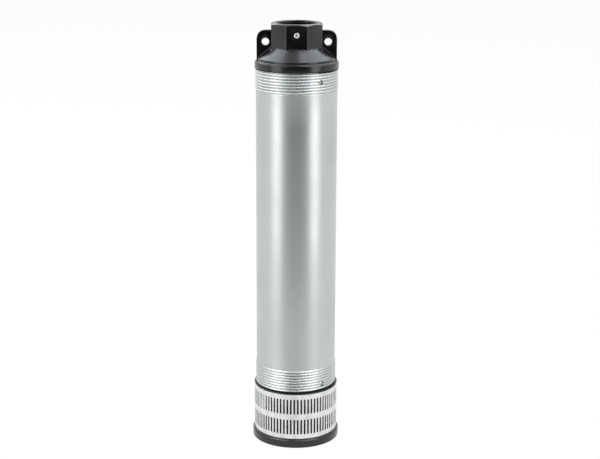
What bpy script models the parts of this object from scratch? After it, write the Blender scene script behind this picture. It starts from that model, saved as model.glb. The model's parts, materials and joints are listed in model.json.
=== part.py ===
"""Four-inch borehole pump with a bottom inlet.

Water enters the slotted strainer, passes the stacked stages, rises between the motor's can and
the outer housing, lifts the check valve and leaves through the threaded port in the head.
The origin is the centre of the base cap's underside, +Z is up and -Y is the front.
"""
import math

import bmesh
import bpy
from mathutils import Matrix

MM = 0.001

# Clearances
SEAT_GAP = 0.3 * MM
RUNNING_GAP = 0.4 * MM
SCREW_GAP = 0.3 * MM

# Depth by which shapes that fuse sink into each other, and by which cutters run past a face
JOIN_DEPTH = 1.0 * MM
OVERCUT = 1.0 * MM

# Facets of round pieces
OUTER_SEGMENTS = 36
INNER_SEGMENTS = 16
SMALL_SEGMENTS = 12

# Housing tube with a rolled right-hand thread, eight turns to the inch, at each end
TUBE_RADIUS = 44.7 * MM
TUBE_WALL = 1.3 * MM
THREAD_PITCH = 3.175 * MM
THREAD_RISE = 0.8 * MM
THREAD_DEPTH = 1.1 * MM
THREAD_RUNOUT = 1.6 * MM
UPPER_BAND = 24.0 * MM
LOWER_BAND = 26.0 * MM
UPPER_THREAD_START = -2.9 * MM
LOWER_THREAD_START = 0.3 * MM
GASKET_THICKNESS = 0.5 * MM
GASKET_WIDTH = 2.3 * MM

# Base cap
CAP_OVERHANG = 4.37 * MM
CAP_HEIGHT = 10.2 * MM
CAP_FOOT_WIDTH = 7.0 * MM
CAP_RECESS = 1.2 * MM
CAP_FLOOR = 4.0 * MM
CAP_ROUNDING = 1.8 * MM
CAP_SHOULDER_INSET = 0.7 * MM
CAP_SHOULDER_DROP = 0.8 * MM
CAP_LEDGE_DROP = 2.2 * MM
CAP_SPIGOT_HEIGHT = 4.0 * MM
CAP_SPIGOT_WALL = 2.2 * MM
STRAINER_GROOVE_DEPTH = 2.4 * MM

# Strainer drum
STRAINER_STAND_OUT = 2.4 * MM
STRAINER_WALL = 0.8 * MM
STRAINER_SHOWN = 52.9 * MM
SLOT_COLUMNS = 75
SLOT_TURN = math.radians(-91.6)
SLOT_WIDTH = 2.0 * MM
SLOT_ROWS = 2
BAND_BELOW_SLOTS = 5.3 * MM
BAND_BETWEEN_SLOTS = 6.4 * MM
BAND_ABOVE_SLOTS = 5.8 * MM

# Suction cover
SUCTION_FLANGE_THICKNESS = 1.1 * MM
SUCTION_FLANGE_STAND_OUT = 0.2 * MM
SUCTION_SKIRT = 6.0 * MM
SUCTION_SKIRT_WALL = 2.4 * MM
SPIGOT_GAP = 0.3 * MM
POST_COUNT = 3
POST_RADIUS = 4.5 * MM
POST_INSET = 10.3 * MM
POST_ROOT = 2.0 * MM
POST_HOLE_SPARE = 2.0 * MM
EYE_CHAMFER = 1.5 * MM
POST_TURN = math.radians(90.0)
INLET_RIB_THICKNESS = 2.0 * MM
INLET_RIB_DROP = 9.0 * MM
INLET_RIB_LAP = 1.0 * MM

# Screws
BASE_SCREW_RADIUS = 1.5 * MM
BASE_SCREW_HEAD_RADIUS = 3.2 * MM
BASE_SCREW_HEAD_HEIGHT = 1.5 * MM
BASE_SCREW_LENGTH = 13.0 * MM
LOCK_SCREW_HEAD_RADIUS = 2.4 * MM
LOCK_SCREW_RADIUS = 1.5 * MM
LOCK_SCREW_LENGTH = 5.0 * MM
UPPER_LOCK_DROP = 10.4 * MM
UPPER_LOCK_ANGLE = math.radians(-55.0)
LOWER_LOCK_RISE = 6.4 * MM
LOWER_LOCK_ANGLE = math.radians(-49.0)
PORT_SCREW_RADIUS = 3.0 * MM
PORT_SCREW_DEPTH = 5.0 * MM
PORT_SCREW_DROP = 11.4 * MM
PORT_SCREW_STAND_OUT = 0.3 * MM
PORT_SCREW_SOCKET_RADIUS = 1.3 * MM
PORT_SCREW_SOCKET_DEPTH = 1.8 * MM

# Hydraulic stages
STAGE_COUNT = 3
STAGE_PITCH = 27.0 * MM
STAGE_WALL = 2.5 * MM
STAGE_CHAMBER = 16.0 * MM
STAGE_PLATE = 2.0 * MM
EYE_RADIUS = 17.0 * MM
CHAMBER_ONE_FLOOR = 5.1 * MM
DIFFUSER_INSET = 6.1 * MM
RETURN_VANES = 5
RETURN_VANE_INSET = 1.0 * MM
IMPELLER_TIP_GAP = 2.6 * MM
IMPELLER_VANES = 5
IMPELLER_SHROUD = 2.0 * MM
IMPELLER_ROOF_GAP = 2.0 * MM
IMPELLER_FLOOR_GAP = 1.0 * MM
IMPELLER_HUB_WALL = 3.0 * MM
IMPELLER_NECK_WALL = 2.2 * MM
IMPELLER_NECK_LENGTH = 3.0 * MM
IMPELLER_HUB_DROP = 1.0 * MM
VANE_THICKNESS = 1.6 * MM
VANE_TIP_INSET = 1.0 * MM
VANE_SWEEP = math.radians(62.0)
VANE_STEPS = 3
AXIAL_VANES = 5
BOWL_RING_HEIGHT = 12.0 * MM
BOWL_WALL = 3.0 * MM
BOWL_RIM_HEIGHT = 6.0 * MM
BOWL_HUB_WALL = 3.1 * MM
BOWL_HUB_STAND_OUT = 0.4 * MM
BUSH_LENGTH = 7.0 * MM
WASHER_THICKNESS = 2.0 * MM
WASHER_RADIUS = 7.5 * MM
NUT_HEIGHT = 5.0 * MM
NUT_WALL = 1.0 * MM
SHAFT_END_LENGTH = 1.5 * MM

# Shaft seal
SEAL_SPRING_CLEARANCE = 2.6 * MM
SEAL_SPRING_WIRE = 0.7 * MM
SEAL_SPRING_LENGTH = 6.0 * MM
SEAL_SPRING_TURNS = 3
SEAL_FACE_RADIUS = 9.5 * MM
SEAL_FACE_LENGTH = 4.0 * MM
SEAL_SEAT_RADIUS = 10.5 * MM
SEAL_SEAT_LENGTH = 4.0 * MM
SEAL_BOSS_WALL = 3.2 * MM
SEAL_BOSS_HEIGHT = 6.0 * MM
SEAL_WEB = 5.1 * MM

# Motor
WATER_GAP = 4.4 * MM
CAN_WALL = 0.8 * MM
BRACKET_FLANGE = 4.0 * MM
BRACKET_PLATE = 4.0 * MM
BRACKET_RIM_WALL = 2.4 * MM
SHAFT_RADIUS = 5.0 * MM
BEARING_BORE_STEP = 1.0 * MM
BEARING_RADIUS = 14.0 * MM
BEARING_WIDTH = 8.0 * MM
SHAFT_SHOULDER_DROP = 2.0 * MM
BEARING_BOSS_WALL = 3.0 * MM
ROTOR_SHAFT_STEP = 1.5 * MM
STATOR_DEPTH = 15.3 * MM
STATOR_AIR_GAP = 0.6 * MM
STATOR_LENGTH = 90.0 * MM
ROTOR_OVERHANG = 3.0 * MM
WINDING_LENGTH = 22.0 * MM
WINDING_INSET = 2.0 * MM
WINDING_CLEARANCE = 2.0 * MM
WINDING_ROUNDING = 3.0 * MM
ROTOR_END_STEP = 2.0 * MM
ROTOR_END_LENGTH = 6.0 * MM
CAPACITOR_RADIUS = 17.5 * MM
CAPACITOR_LENGTH = 52.0 * MM
CAPACITOR_CLEARANCE = 8.0 * MM
CAPACITOR_EDGE = 1.0 * MM
LID_FLANGE = 4.0 * MM
LID_SPIGOT = 8.0 * MM
LID_DOME = 9.0 * MM
LID_WALL = 3.0 * MM
LID_SHOULDER = 3.0 * MM
CABLE_BOSS_RADIUS = 7.0 * MM
CABLE_BOSS_HEIGHT = 6.0 * MM
CABLE_RADIUS = 4.0 * MM
SPIDER_LEGS = 5
SPIDER_HEIGHT = 12.8 * MM
SPIDER_RING_HEIGHT = 3.6 * MM
SPIDER_LEG_THICKNESS = 2.6 * MM

# Outlet head
HEAD_RIM_STAND_OUT = 1.35 * MM
HEAD_RIM_HEIGHT = 7.3 * MM
HEAD_RIM_CHAMFER = 1.0 * MM
HEAD_GROOVE_WIDTH = 1.0 * MM
HEAD_GROOVE_RISE = 1.0 * MM
CONE_FOOT_INSET = 1.7 * MM
CONE_FOOT_RISE = 2.9 * MM
CONE_HEIGHT = 12.1 * MM
CONE_TOP_STEP = 1.1 * MM
HEAD_SPIGOT_LENGTH = 21.7 * MM
HEAD_SPIGOT_WALL = 2.8 * MM
HEAD_ROOF_RISE = 4.5 * MM
HEAD_ROOF_LEDGE = 1.0 * MM
HEAD_NECK_STEP = 2.0 * MM
PORT_WALL = 7.5 * MM
PORT_HEIGHT = 26.5 * MM
PORT_CHAMFER = 4.4 * MM
PORT_CHAMFER_INSET = 1.0 * MM
PORT_BORE_RADIUS = 20.3 * MM
PORT_MOUTH_FLARE = 2.0 * MM
PORT_MOUTH_CHAMFER = 2.0 * MM
EAR_THICKNESS = 8.0 * MM
EAR_HOLE_RADIUS = 4.1 * MM
EAR_HOLE_OFFSET = 6.3 * MM
EAR_HOLE_DROP = 12.5 * MM
EAR_TOP_DROP = 8.1 * MM
EAR_RIM = 9.6 * MM
EAR_CORNER_RADIUS = 8.5 * MM
EAR_CORNER_STEPS = 4
EAR_ROOT = 3.0 * MM

# Check valve
VALVE_SHELF_WIDTH = 3.3 * MM
VALVE_SHELF_HEIGHT = 3.0 * MM
VALVE_POCKET_DROP = 31.8 * MM
VALVE_SEAT_HEIGHT = 4.0 * MM
VALVE_SEAT_WIDTH = 6.5 * MM
VALVE_HUB_RADIUS = 4.8 * MM
VALVE_HUB_DROP = 5.0 * MM
VALVE_SPOKES = 3
VALVE_SPOKE_WIDTH = 2.6 * MM
VALVE_SPOKE_RISE = 0.2 * MM
VALVE_SPOKE_DROP = 1.0 * MM
VALVE_HUB_SINK = 0.6 * MM
VALVE_STEM_RADIUS = 2.2 * MM
VALVE_DISC_LAP = 3.3 * MM
VALVE_DISC_HEIGHT = 2.4 * MM
VALVE_DISC_EDGE = 1.0 * MM
VALVE_SEAL_HEIGHT = 1.4 * MM
VALVE_SEAL_LIP = 0.9 * MM
VALVE_SPRING_RADIUS = 3.7 * MM
VALVE_SPRING_WIRE = 0.5 * MM
VALVE_SPRING_LENGTH = 11.0 * MM
VALVE_SPRING_TURNS = 3
VALVE_CLIP_RADIUS = 5.4 * MM
VALVE_CLIP_HEIGHT = 1.2 * MM
VALVE_STEM_END = 1.2 * MM

# Cable gland
GLAND_NUT_ACROSS_FLATS = 13.0 * MM
GLAND_NUT_HEIGHT = 6.0 * MM
GLAND_CLEARANCE = 0.4 * MM
GLAND_BOSS_RADIUS = 7.2 * MM
GLAND_BOSS_RISE = 0.5 * MM
GLAND_POCKET_RADIUS = 5.6 * MM
GLAND_POCKET_DEPTH = 12.2 * MM
GLAND_SLEEVE_LENGTH = 4.6 * MM
GLAND_BORE_RADIUS = 4.3 * MM

# Radii that follow from the tube
TUBE_BORE = TUBE_RADIUS - TUBE_WALL
SPIGOT_RADIUS = TUBE_BORE - SPIGOT_GAP
STRAINER_RADIUS = TUBE_RADIUS + STRAINER_STAND_OUT
STRAINER_BORE = STRAINER_RADIUS - STRAINER_WALL
CAP_RADIUS = TUBE_RADIUS + CAP_OVERHANG
POST_CIRCLE_RADIUS = STRAINER_BORE - POST_INSET
FLANGE_RADIUS = STRAINER_RADIUS + SUCTION_FLANGE_STAND_OUT
CHAMBER_RADIUS = SPIGOT_RADIUS - STAGE_WALL
IMPELLER_RADIUS = CHAMBER_RADIUS - IMPELLER_TIP_GAP
CAN_RADIUS = TUBE_BORE - WATER_GAP
CAN_BORE = CAN_RADIUS - CAN_WALL
CORE_RADIUS = CAN_BORE - SEAT_GAP
STATOR_BORE = CORE_RADIUS - STATOR_DEPTH
ROTOR_RADIUS = STATOR_BORE - STATOR_AIR_GAP
CABLE_BOSS_OFFSET = CAN_RADIUS - LID_SHOULDER - LID_DOME - CABLE_BOSS_RADIUS
HEAD_RADIUS = TUBE_RADIUS + HEAD_RIM_STAND_OUT
HEAD_CAVITY_RADIUS = SPIGOT_RADIUS - HEAD_SPIGOT_WALL
CONE_FOOT_RADIUS = TUBE_RADIUS - CONE_FOOT_INSET

# Radii that follow from the shaft
SHAFT_BORE = SHAFT_RADIUS + SEAT_GAP
IMPELLER_HUB_RADIUS = SHAFT_RADIUS + IMPELLER_HUB_WALL
NUT_FLAT = SHAFT_RADIUS + NUT_WALL
HUB_BORE = IMPELLER_HUB_RADIUS + RUNNING_GAP
SEAL_SPRING_RADIUS = SHAFT_RADIUS + SEAL_SPRING_CLEARANCE
BEARING_BORE_RADIUS = SHAFT_RADIUS + BEARING_BORE_STEP
ROTOR_SHAFT_RADIUS = BEARING_BORE_RADIUS + ROTOR_SHAFT_STEP
BEARING_POCKET = BEARING_RADIUS + SEAT_GAP

# Radii and offsets that follow from the port's bore
PORT_FLAT = PORT_BORE_RADIUS + PORT_WALL
PORT_MOUTH_RADIUS = PORT_BORE_RADIUS + PORT_MOUTH_FLARE
CONE_TOP_RADIUS = PORT_FLAT + CONE_TOP_STEP
THROAT_RADIUS = PORT_BORE_RADIUS - VALVE_SHELF_WIDTH
VALVE_SEAT_RADIUS = PORT_BORE_RADIUS - SEAT_GAP
VALVE_THROAT_RADIUS = VALVE_SEAT_RADIUS - VALVE_SEAT_WIDTH
VALVE_DISC_RADIUS = VALVE_THROAT_RADIUS + VALVE_DISC_LAP
EAR_CENTRE = PORT_FLAT + EAR_HOLE_OFFSET
EAR_REACH = EAR_CENTRE + EAR_RIM

# Heights, from the floor up
FLANGE_LOW = CAP_HEIGHT + STRAINER_SHOWN
FLANGE_TOP = FLANGE_LOW + SUCTION_FLANGE_THICKNESS
TUBE_LOW = FLANGE_TOP + GASKET_THICKNESS + 2 * SEAT_GAP
CAP_INNER_FLOOR = CAP_RECESS + CAP_FLOOR
CHAMBER_FLOOR = FLANGE_LOW + CHAMBER_ONE_FLOOR
CASING_LOW = CHAMBER_FLOOR + STAGE_CHAMBER
BOWL_LOW = CASING_LOW + (STAGE_COUNT - 1) * STAGE_PITCH
HUB_LENGTH = STAGE_PITCH - SEAT_GAP
HUB_STACK_LOW = CHAMBER_FLOOR - IMPELLER_HUB_DROP
HUB_STACK_TOP = HUB_STACK_LOW + STAGE_COUNT * STAGE_PITCH - SEAT_GAP
BUSH_LOW = HUB_STACK_TOP + RUNNING_GAP
SEAL_SPRING_LOW = BUSH_LOW + BUSH_LENGTH + SEAT_GAP
SEAL_FACE_LOW = SEAL_SPRING_LOW + SEAL_SPRING_LENGTH + SEAT_GAP
SEAL_SEAT_LOW = SEAL_FACE_LOW + SEAL_FACE_LENGTH + SEAT_GAP
SEAL_SEAT_TOP = SEAL_SEAT_LOW + SEAL_SEAT_LENGTH + SEAT_GAP
BRACKET_LOW = SEAL_SEAT_LOW + SEAL_BOSS_HEIGHT
BOWL_TOP = BRACKET_LOW - SEAT_GAP
CAN_LOW = BRACKET_LOW + BRACKET_FLANGE + SEAT_GAP
BEARING_LOW = SEAL_SEAT_TOP + SEAL_WEB + SEAT_GAP
BRACKET_TOP = BEARING_LOW + BEARING_WIDTH + SEAT_GAP
LOWER_WINDING_LOW = BRACKET_TOP + WINDING_CLEARANCE
STATOR_LOW = LOWER_WINDING_LOW + WINDING_LENGTH + SEAT_GAP
UPPER_WINDING_LOW = STATOR_LOW + STATOR_LENGTH + SEAT_GAP
UPPER_BRACKET_LOW = UPPER_WINDING_LOW + WINDING_LENGTH + WINDING_CLEARANCE
UPPER_BRACKET_TOP = UPPER_BRACKET_LOW + BEARING_WIDTH + SEAT_GAP + BRACKET_PLATE
ROTOR_LENGTH = STATOR_LENGTH + 2 * ROTOR_OVERHANG
ROTOR_LOW = STATOR_LOW - ROTOR_OVERHANG
CAPACITOR_LOW = UPPER_BRACKET_TOP + SEAT_GAP
LID_LOW = CAPACITOR_LOW + CAPACITOR_LENGTH + CAPACITOR_CLEARANCE - LID_DOME
CAN_TOP = LID_LOW - SEAT_GAP
LID_TOP = LID_LOW + LID_FLANGE
SPIDER_LOW = LID_TOP + SEAT_GAP
SPIDER_TOP = SPIDER_LOW + SPIDER_HEIGHT
HEAD_SPIGOT_LOW = SPIDER_TOP + SEAT_GAP
HEAD_LOW = HEAD_SPIGOT_LOW + HEAD_SPIGOT_LENGTH
TUBE_TOP = HEAD_LOW - GASKET_THICKNESS - 2 * SEAT_GAP
TUBE_LENGTH = TUBE_TOP - TUBE_LOW
RIM_TOP = HEAD_LOW + HEAD_RIM_HEIGHT
CONE_FOOT = RIM_TOP + CONE_FOOT_RISE
PORT_FOOT = CONE_FOOT + CONE_HEIGHT
PORT_TOP = PORT_FOOT + PORT_HEIGHT
VALVE_SHELF_TOP = PORT_TOP - VALVE_POCKET_DROP
VALVE_SHELF_LOW = VALVE_SHELF_TOP - VALVE_SHELF_HEIGHT
VALVE_SEAT_LOW = VALVE_SHELF_TOP + SEAT_GAP
VALVE_SEAT_TOP = VALVE_SEAT_LOW + VALVE_SEAT_HEIGHT
VALVE_SEAL_LOW = VALVE_SEAT_TOP + SEAT_GAP
VALVE_DISC_LOW = VALVE_SEAL_LOW + VALVE_SEAL_HEIGHT + SEAT_GAP
VALVE_HUB_LOW = VALVE_SEAT_LOW - VALVE_HUB_DROP
VALVE_SPRING_LOW = VALVE_HUB_LOW - SEAT_GAP - VALVE_SPRING_LENGTH
VALVE_CLIP_LOW = VALVE_SPRING_LOW - SEAT_GAP - VALVE_CLIP_HEIGHT


def clear_scene():
    """Remove whatever the file opened with."""
    for item in list(bpy.data.objects):
        bpy.data.objects.remove(item, do_unlink=True)


def finish(name, colour, roughness, metallic):
    """Make one material from its colour, roughness and metallic value."""
    made = bpy.data.materials.new(name)
    made.use_nodes = True
    shader = made.node_tree.nodes["Principled BSDF"]
    shader.inputs["Base Color"].default_value = (*colour, 1.0)
    shader.inputs["Roughness"].default_value = roughness
    shader.inputs["Metallic"].default_value = metallic
    made.diffuse_color = (*colour, 1.0)
    return made


def place(name, shape, coat, height=0.0):
    """Turn a finished bmesh into a named object standing at a height on the pump's axis."""
    bmesh.ops.recalc_face_normals(shape, faces=shape.faces)
    mesh = bpy.data.meshes.new(name)
    shape.to_mesh(mesh)
    shape.free()
    mesh.materials.append(coat)
    mesh.shade_smooth()
    mesh.set_sharp_from_angle(angle=math.radians(35.0))
    item = bpy.data.objects.new(name, mesh)
    item.location = (0.0, 0.0, height)
    bpy.context.collection.objects.link(item)
    return item


def copy_of(item, name, height):
    """Stand a copy that shares the first one's mesh at another height."""
    twin = bpy.data.objects.new(name, item.data)
    twin.location = (0.0, 0.0, height)
    bpy.context.collection.objects.link(twin)
    return twin


def turned(outline, segments):
    """Spin an outline of (radius, height) points; it may start and end on the axis."""
    shape = bmesh.new()
    corners = [shape.verts.new((radius, 0.0, height)) for radius, height in outline]
    links = list(zip(corners, corners[1:]))
    if outline[0][0] > 0.0:
        links.append((corners[-1], corners[0]))
    edges = [shape.edges.new(link) for link in links]
    bmesh.ops.spin(
        shape, geom=corners + edges, cent=(0.0, 0.0, 0.0), axis=(0.0, 0.0, 1.0),
        dvec=(0.0, 0.0, 0.0), angle=2 * math.pi, steps=segments, use_merge=True,
    )
    bmesh.ops.remove_doubles(shape, verts=shape.verts, dist=0.001 * MM)
    return shape


def prism(outline, low, high):
    """Extrude a flat outline of (x, y) points from one height to another."""
    shape = bmesh.new()
    face = shape.faces.new([shape.verts.new((x, y, low)) for x, y in outline])
    raised = bmesh.ops.extrude_face_region(shape, geom=[face])
    tops = [item for item in raised["geom"] if isinstance(item, bmesh.types.BMVert)]
    bmesh.ops.translate(shape, verts=tops, vec=(0.0, 0.0, high - low))
    return shape


def around(count, turn=0.0):
    """Give evenly spaced angles round the axis."""
    return [turn + 2 * math.pi * index / count for index in range(count)]


def polygon(count, radius, turn=0.0, centre=(0.0, 0.0)):
    """Give the corners of a regular polygon."""
    return [
        (centre[0] + radius * math.cos(angle), centre[1] + radius * math.sin(angle))
        for angle in around(count, turn)
    ]


def star(count, reach, thickness, turn=0.0):
    """Give the outline of flat arms that meet on the axis."""
    half = thickness / 2
    notch = half / math.sin(math.pi / count)
    outline = []
    for angle in around(count, turn):
        for side in (-half, half):
            x = reach * math.cos(angle) - side * math.sin(angle)
            y = reach * math.sin(angle) + side * math.cos(angle)
            outline.append((x, y))
        between = angle + math.pi / count
        outline.append((notch * math.cos(between), notch * math.sin(between)))
    return outline


def rod(radius, low, high, centre=(0.0, 0.0), segments=SMALL_SEGMENTS):
    """Make an upright round bar."""
    return prism(polygon(segments, radius, centre=centre), low, high)


def plank(near, far, thickness, low, high, turn):
    """Make an upright flat bar that runs out from the axis at an angle."""
    half = thickness / 2
    flat = prism([(near, -half), (far, -half), (far, half), (near, half)], low, high)
    return tilted(flat, "Z", turn)


def gathered(shapes):
    """Put separate shapes into one bmesh."""
    whole = bmesh.new()
    for shape in shapes:
        part = bpy.data.meshes.new("part")
        bmesh.ops.recalc_face_normals(shape, faces=shape.faces)
        shape.to_mesh(part)
        shape.free()
        whole.from_mesh(part)
        bpy.data.meshes.remove(part)
    return whole


def tilted(shape, axis, angle):
    """Turn a shape about a named axis through the origin."""
    turn = Matrix.Rotation(angle, 3, axis)
    bmesh.ops.rotate(shape, verts=shape.verts, cent=(0.0, 0.0, 0.0), matrix=turn)
    return shape


def shifted(shape, x=0.0, y=0.0, z=0.0):
    """Move a shape."""
    bmesh.ops.translate(shape, verts=shape.verts, vec=(x, y, z))
    return shape


def worked(item, shape, operation):
    """Join a tool shape to an object, or cut it away, with an exact Boolean."""
    tool = place("tool", shape, item.data.materials[0])
    tool.location = item.location
    step = item.modifiers.new(operation, "BOOLEAN")
    step.operation = operation
    step.solver = "EXACT"
    step.object = tool
    bpy.context.view_layer.update()
    graph = bpy.context.evaluated_depsgraph_get()
    result = bpy.data.meshes.new_from_object(item.evaluated_get(graph))
    item.modifiers.clear()
    old = item.data
    name = old.name
    item.data = result
    bpy.data.meshes.remove(old)
    result.name = name
    bpy.data.objects.remove(tool, do_unlink=True)
    return item


def taken_back(item):
    """Turn an object that was only worked on into a bmesh again."""
    shape = bmesh.new()
    shape.from_mesh(item.data)
    bpy.data.objects.remove(item, do_unlink=True)
    return shape


def joined(item, shape):
    """Union a shape with an object."""
    return worked(item, shape, "UNION")


def cut(item, shape):
    """Cut a shape out of an object."""
    return worked(item, shape, "DIFFERENCE")


def box_ring(inner, outer, low, high):
    """Outline of a plain ring."""
    return [(inner, low), (outer, low), (outer, high), (inner, high)]


def vane(inner, outer, sweep, thickness, turn):
    """Outline of one curved vane seen from above."""
    left = []
    right = []
    for step in range(VANE_STEPS + 1):
        share = step / VANE_STEPS
        radius = inner + (outer - inner) * share
        angle = turn + sweep * share
        lean = angle + math.atan2(sweep * radius, outer - inner)
        side_x = -math.sin(lean) * thickness / 2
        side_y = math.cos(lean) * thickness / 2
        x = radius * math.cos(angle)
        y = radius * math.sin(angle)
        left.append((x + side_x, y + side_y))
        right.append((x - side_x, y - side_y))
    return right + left[::-1]


def coil(radius, wire, length, turns):
    """Sweep a square wire along a helix that stands on the origin."""
    shape = bmesh.new()
    steps = turns * 8
    rings = []
    for index in range(steps + 1):
        angle = 2 * math.pi * turns * index / steps
        height = wire + (length - 2 * wire) * index / steps
        ring = []
        for side, rise in ((-wire, -wire), (wire, -wire), (wire, wire), (-wire, wire)):
            reach = radius + side
            ring.append(shape.verts.new((reach * math.cos(angle), reach * math.sin(angle), height + rise)))
        rings.append(ring)
    for ring, following in zip(rings, rings[1:]):
        for corner in range(4):
            after = (corner + 1) % 4
            shape.faces.new((ring[corner], ring[after], following[after], following[corner]))
    shape.faces.new(rings[0][::-1])
    shape.faces.new(rings[-1])
    return shape


def thread_radius(height, turn, root_height):
    """Radius of the rolled thread at a height, a share of a turn past the column of root_height."""
    phase = (height - root_height) / THREAD_PITCH - turn
    rise = 1 - abs(2 * (phase % 1.0) - 1)
    return TUBE_RADIUS + THREAD_RISE - THREAD_DEPTH * (1 - rise)


def thread_rows(low, high, root_height, plain):
    """Rows of (radius, height) pairs that climb with the thread, alternately along root and crest.

    A row climbs one pitch in a turn and goes on as the row after the next. Below the low and above
    the high level it is held on that level. The thread runs out towards the level called plain.
    """
    first = math.floor(2 * (low - root_height) / THREAD_PITCH) - 3
    last = math.ceil(2 * (high - root_height) / THREAD_PITCH) + 1
    rows = []
    for index in range(first, last + 1):
        row = []
        for turn in (column / OUTER_SEGMENTS for column in range(OUTER_SEGMENTS)):
            height = min(max(root_height + (index / 2 + turn) * THREAD_PITCH, low), high)
            share = min(abs(height - plain) / THREAD_RUNOUT, 1.0)
            radius = thread_radius(height, turn, root_height)
            row.append((TUBE_RADIUS + (radius - TUBE_RADIUS) * share, height))
        rows.append(row)
    return rows


def threaded_skin(shape, rows):
    """Add the faces of one threaded band, and give its lowest and its highest ring of corners."""
    angles = around(OUTER_SEGMENTS)
    grid = [
        [shape.verts.new((radius * math.cos(angle), radius * math.sin(angle), height))
         for angle, (radius, height) in zip(angles, row)]
        for row in rows
    ]
    for lower, upper in zip(range(len(grid) - 1), range(1, len(grid))):
        beyond = [grid[min(index + 2, len(grid) - 1)][0] for index in (lower, upper)]
        low_row = grid[lower] + [beyond[0]]
        high_row = grid[upper] + [beyond[1]]
        for column in range(OUTER_SEGMENTS):
            corners = (low_row[column], low_row[column + 1], high_row[column + 1], high_row[column])
            if len(set(corners)) > 2:
                shape.faces.new(dict.fromkeys(corners))
    return grid[0], grid[-1]


def housing_tube(steel):
    """Outer tube with its rolled threads and the two lock screws' holes."""
    shape = bmesh.new()
    plain_low, plain_high = LOWER_BAND, TUBE_LENGTH - UPPER_BAND
    lower = thread_rows(0.0, plain_low, LOWER_THREAD_START, plain_low)
    upper = thread_rows(plain_high, TUBE_LENGTH, TUBE_LENGTH + UPPER_THREAD_START, plain_high)
    foot, lower_end = threaded_skin(shape, lower)
    upper_end, top = threaded_skin(shape, upper)
    bore_low, bore_high = [
        [shape.verts.new((x, y, height)) for x, y in polygon(OUTER_SEGMENTS, TUBE_BORE)]
        for height in (0.0, TUBE_LENGTH)
    ]
    for ring, after in ((bore_low, foot), (lower_end, upper_end), (top, bore_high), (bore_high, bore_low)):
        for column in range(OUTER_SEGMENTS):
            ahead = (column + 1) % OUTER_SEGMENTS
            shape.faces.new((ring[column], ring[ahead], after[ahead], after[column]))
    bmesh.ops.remove_doubles(shape, verts=shape.verts, dist=0.001 * MM)
    tube = place("housing_tube", shape, steel, TUBE_LOW)
    hole = LOCK_SCREW_HEAD_RADIUS + SCREW_GAP
    inner = TUBE_BORE - TUBE_WALL
    outer = TUBE_RADIUS + THREAD_RISE + TUBE_WALL
    cut(tube, radial_rod(hole, inner, outer, LOWER_LOCK_ANGLE, LOWER_LOCK_RISE))
    return cut(tube, radial_rod(hole, inner, outer, UPPER_LOCK_ANGLE, TUBE_LENGTH - UPPER_LOCK_DROP))


def radial_rod(radius, inner, outer, angle, height):
    """Round bar that points away from the axis."""
    bar = tilted(rod(radius, inner, outer), "Y", math.radians(90.0))
    return shifted(tilted(bar, "Z", angle), z=height)


def lock_screw(name, angle, height, steel):
    """Countersunk screw that pins the tube to a spigot."""
    head_low = SPIGOT_RADIUS + SEAT_GAP
    head_top = TUBE_RADIUS + THREAD_RISE
    outline = [
        (0.0, head_low - LOCK_SCREW_LENGTH), (LOCK_SCREW_RADIUS, head_low - LOCK_SCREW_LENGTH),
        (LOCK_SCREW_RADIUS, head_low), (LOCK_SCREW_HEAD_RADIUS, head_low),
        (LOCK_SCREW_HEAD_RADIUS, head_top), (0.0, head_top),
    ]
    screw = place(name, turned(outline, SMALL_SEGMENTS), steel, height)
    screw.rotation_euler = (0.0, math.radians(90.0), angle)
    return screw


def gasket(name, low, rubber):
    """Flat rubber ring between a flange and the tube's end."""
    outline = box_ring(TUBE_BORE, TUBE_BORE + GASKET_WIDTH, 0.0, GASKET_THICKNESS)
    return place(name, turned(outline, OUTER_SEGMENTS), rubber, low)


def base_cap(plastic):
    """Bottom cap: a dish with a foot ring, a groove for the strainer and screw holes."""
    foot = CAP_RADIUS - CAP_ROUNDING
    knee = CAP_ROUNDING * (1 - math.sqrt(0.5))
    ledge = STRAINER_RADIUS + SEAT_GAP
    groove = CAP_HEIGHT - STRAINER_GROOVE_DEPTH
    spigot = STRAINER_BORE - SEAT_GAP
    spigot_bore = spigot - CAP_SPIGOT_WALL
    spigot_top = CAP_HEIGHT + CAP_SPIGOT_HEIGHT
    outline = [
        (0.0, CAP_RECESS), (foot - CAP_FOOT_WIDTH, CAP_RECESS), (foot - CAP_FOOT_WIDTH + CAP_RECESS, 0.0),
        (foot, 0.0), (CAP_RADIUS - knee, knee), (CAP_RADIUS, CAP_ROUNDING),
        (CAP_RADIUS, CAP_HEIGHT - CAP_LEDGE_DROP),
        (CAP_RADIUS - CAP_SHOULDER_INSET, CAP_HEIGHT - CAP_SHOULDER_DROP),
        (ledge, CAP_HEIGHT), (ledge, groove), (spigot, groove), (spigot, spigot_top),
        (spigot_bore, spigot_top), (spigot_bore, CAP_INNER_FLOOR), (0.0, CAP_INNER_FLOOR),
    ]
    cap = place("base_cap", turned(outline, OUTER_SEGMENTS), plastic)
    head = BASE_SCREW_HEAD_RADIUS + SCREW_GAP
    seat = CAP_RECESS + BASE_SCREW_HEAD_HEIGHT + 2 * SEAT_GAP
    shank = BASE_SCREW_RADIUS + SCREW_GAP
    stepped = [
        (0.0, -OVERCUT), (head, -OVERCUT), (head, seat), (shank, seat),
        (shank, CAP_INNER_FLOOR + OVERCUT), (0.0, CAP_INNER_FLOOR + OVERCUT),
    ]
    spots = polygon(POST_COUNT, POST_CIRCLE_RADIUS, POST_TURN)
    return cut(cap, gathered([shifted(turned(stepped, SMALL_SEGMENTS), x, y) for x, y in spots]))


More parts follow.
